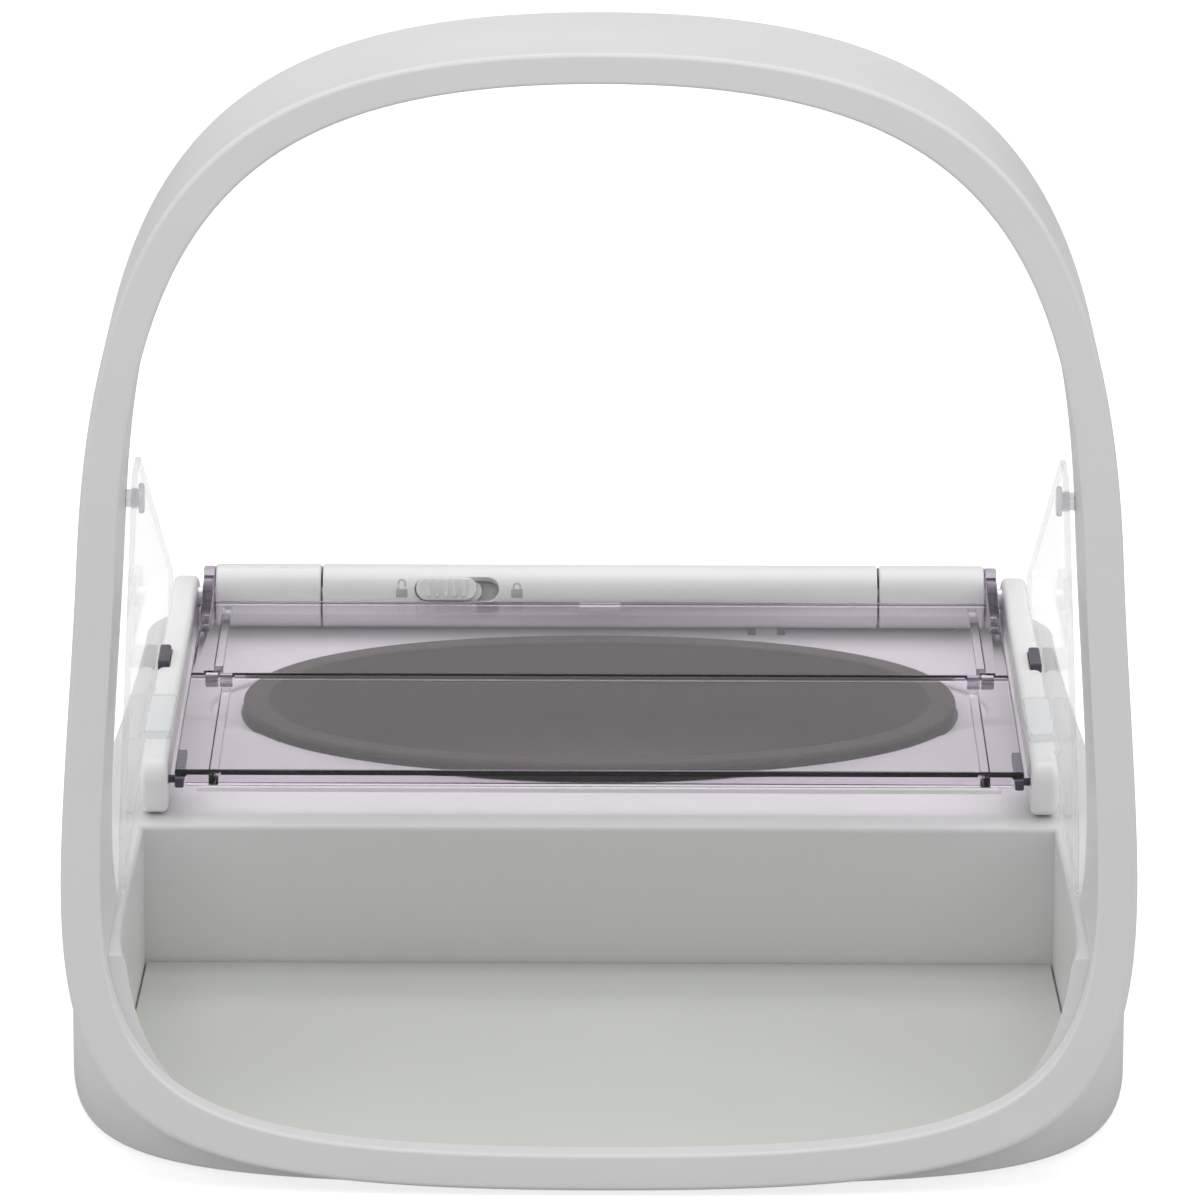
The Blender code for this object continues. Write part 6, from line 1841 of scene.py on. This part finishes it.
@dataclass
class Studio:
    """The white set: floor, backdrop light and camera."""

    lamps: list[Softbox] = field(default_factory=lambda: [
        Softbox("lamp_top", (0.0, 0.55, 1.35), (0.0, 0.0, 0.05), (1.8, 1.2), 13.0),
        Softbox("lamp_left", (-1.3, -0.3, 0.9), (0.0, 0.0, 0.08), (0.9, 1.2), 3.5),
        Softbox("lamp_right", (1.3, -0.3, 0.9), (0.0, 0.0, 0.08), (0.9, 1.2), 3.3),
        Softbox("lamp_front", (0.0, -1.9, 0.9), (0.0, 0.0, 0.06), (1.4, 0.6), 2.25),
    ])
    ambient: float = 0.33
    gloss_share: float = 0.2
    paper: float = 0.78
    paper_glow: float = 0.62
    paper_reach: float = 4.0
    clear_reach: float = 0.012
    target: Point = (0.0, -0.0275, 0.0921)
    distance: float = 1.86
    elevation: float = 16.0
    lens: float = 252.7
    roll: float = 0.2

    def world(self) -> None:
        """White to the camera and through clear pieces, paler in reflections, dimmer on matt surfaces."""
        world = bpy.data.worlds.new("studio")
        world.use_nodes = True
        tree = world.node_tree
        tree.nodes.clear()
        path = add_node(tree, "LightPath").outputs
        seen = arithmetic(tree, "MAXIMUM", path["Is Camera Ray"], path["Is Transmission Ray"])
        mirrored_share = arithmetic(tree, "MULTIPLY", path["Is Glossy Ray"], self.gloss_share)
        most = arithmetic(tree, "MAXIMUM", seen, mirrored_share)
        strength = add_node(tree, "MapRange", {"Value": most, "To Min": self.ambient, "To Max": 1.0})
        white = {"Color": (1.0, 1.0, 1.0, 1.0), "Strength": strength.outputs["Result"]}
        light = add_node(tree, "Background", white)
        add_node(tree, "OutputWorld", {"Surface": light.outputs[0]})
        bpy.context.scene.world = world

    def floor(self) -> None:
        """A pale floor that stays white to the camera and keeps the soft shadow.

        It is clear from below, and to the shortest rays, so that the underside is seen and gets some light.
        """
        mesh = bpy.data.meshes.new("floor")
        reach = self.paper_reach
        corners = [(-reach, -reach, 0), (reach, -reach, 0), (reach, reach, 0), (-reach, reach, 0)]
        mesh.from_pydata(corners, [], [(0, 1, 2, 3)])
        material = bpy.data.materials.new("floor_paper")
        material.use_nodes = True
        tree = material.node_tree
        tree.nodes.clear()
        path = add_node(tree, "LightPath").outputs
        lit = {"Value": path["Is Camera Ray"], "To Min": 0.0, "To Max": self.paper_glow}
        glow = add_node(tree, "MapRange", lit)
        matt = add_node(tree, "BsdfDiffuse", {"Color": (self.paper, self.paper, self.paper, 1.0)})
        lift = add_node(tree, "Emission", {"Strength": glow.outputs["Result"]})
        paper = add_node(tree, "AddShader", {0: matt.outputs[0], 1: lift.outputs[0]})
        below = add_node(tree, "NewGeometry").outputs["Backfacing"]
        near = arithmetic(tree, "LESS_THAN", path["Ray Length"], self.clear_reach)
        hidden = arithmetic(tree, "MAXIMUM", below, near)
        clear = add_node(tree, "BsdfTransparent").outputs[0]
        whole = add_node(tree, "MixShader", {0: hidden, 1: paper.outputs[0], 2: clear})
        add_node(tree, "OutputMaterial", {"Surface": whole.outputs[0]})
        mesh.materials.append(material)
        floor = bpy.data.objects.new("floor", mesh)
        bpy.context.scene.collection.objects.link(floor)

    def camera(self) -> None:
        """The long-lens camera that looks down at the feeder from its front."""
        angle = math.radians(self.elevation)
        view = Vector((0.0, math.cos(angle), -math.sin(angle)))
        data = bpy.data.cameras.new("camera")
        data.lens = self.lens
        data.sensor_width = 36.0
        data.clip_start = 0.05
        camera = bpy.data.objects.new("camera", data)
        camera.location = Vector(self.target) - view * self.distance
        roll = Matrix.Rotation(math.radians(self.roll), 4, "Z")
        turn = view.to_track_quat("-Z", "Y").to_matrix().to_4x4() @ roll
        camera.rotation_euler = turn.to_euler()
        bpy.context.scene.collection.objects.link(camera)
        bpy.context.scene.camera = camera

    def build(self) -> None:
        """Sets the world, floor, lamps and camera."""
        self.world()
        self.floor()
        for lamp in self.lamps:
            lamp.build()
        self.camera()
        bpy.context.scene.view_settings.view_transform = "Standard"


def dress_inside(frame: dict) -> None:
    """Finishes for the solids that stay as they are: the underside, the fasteners and what lies inside.

    Args:
        frame: the loaded frame.
    """
    pairs = ("left", "right")
    dress_nodes(frame, FINISH.shell, "floor_panel", *(f"battery_door_{side}" for side in pairs))
    dress_nodes(frame, FINISH.steel, "hinge_shaft", "output_shaft", *(f"fold_pin_{side}" for side in pairs),
                *(f"screw_{place}_{side}" for place in ("front", "rear") for side in pairs))
    dress_nodes(frame, FINISH.jacket, *(f"cell_{side}_{number}" for side in pairs for number in (1, 2)))
    contacts = (f"contact_{kind}_{side}" for kind in ("plate", "spring") for side in pairs)
    dress_nodes(frame, FINISH.brass, *contacts)
    dress_nodes(frame, FINISH.copper, "antenna_coil")
    dress_nodes(frame, FINISH.nylon, "drive_gear", "output_gear")
    dress_nodes(frame, FINISH.motor, "gear_motor")
    dress_nodes(frame, FINISH.board, "circuit_board")


def main() -> None:
    """Loads the frame, builds and dresses every piece, sets the studio and finishes the scene."""
    logging.basicConfig(level=logging.INFO, format="%(name)s: %(message)s")
    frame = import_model()
    Hoop().build()
    Base().build()
    Bowl().build()
    Lid().build()
    SideGear().build()
    RearHousing().build()
    build_feet()
    dress_inside(frame)
    Studio().build()


if __name__ == "__main__":
    main()
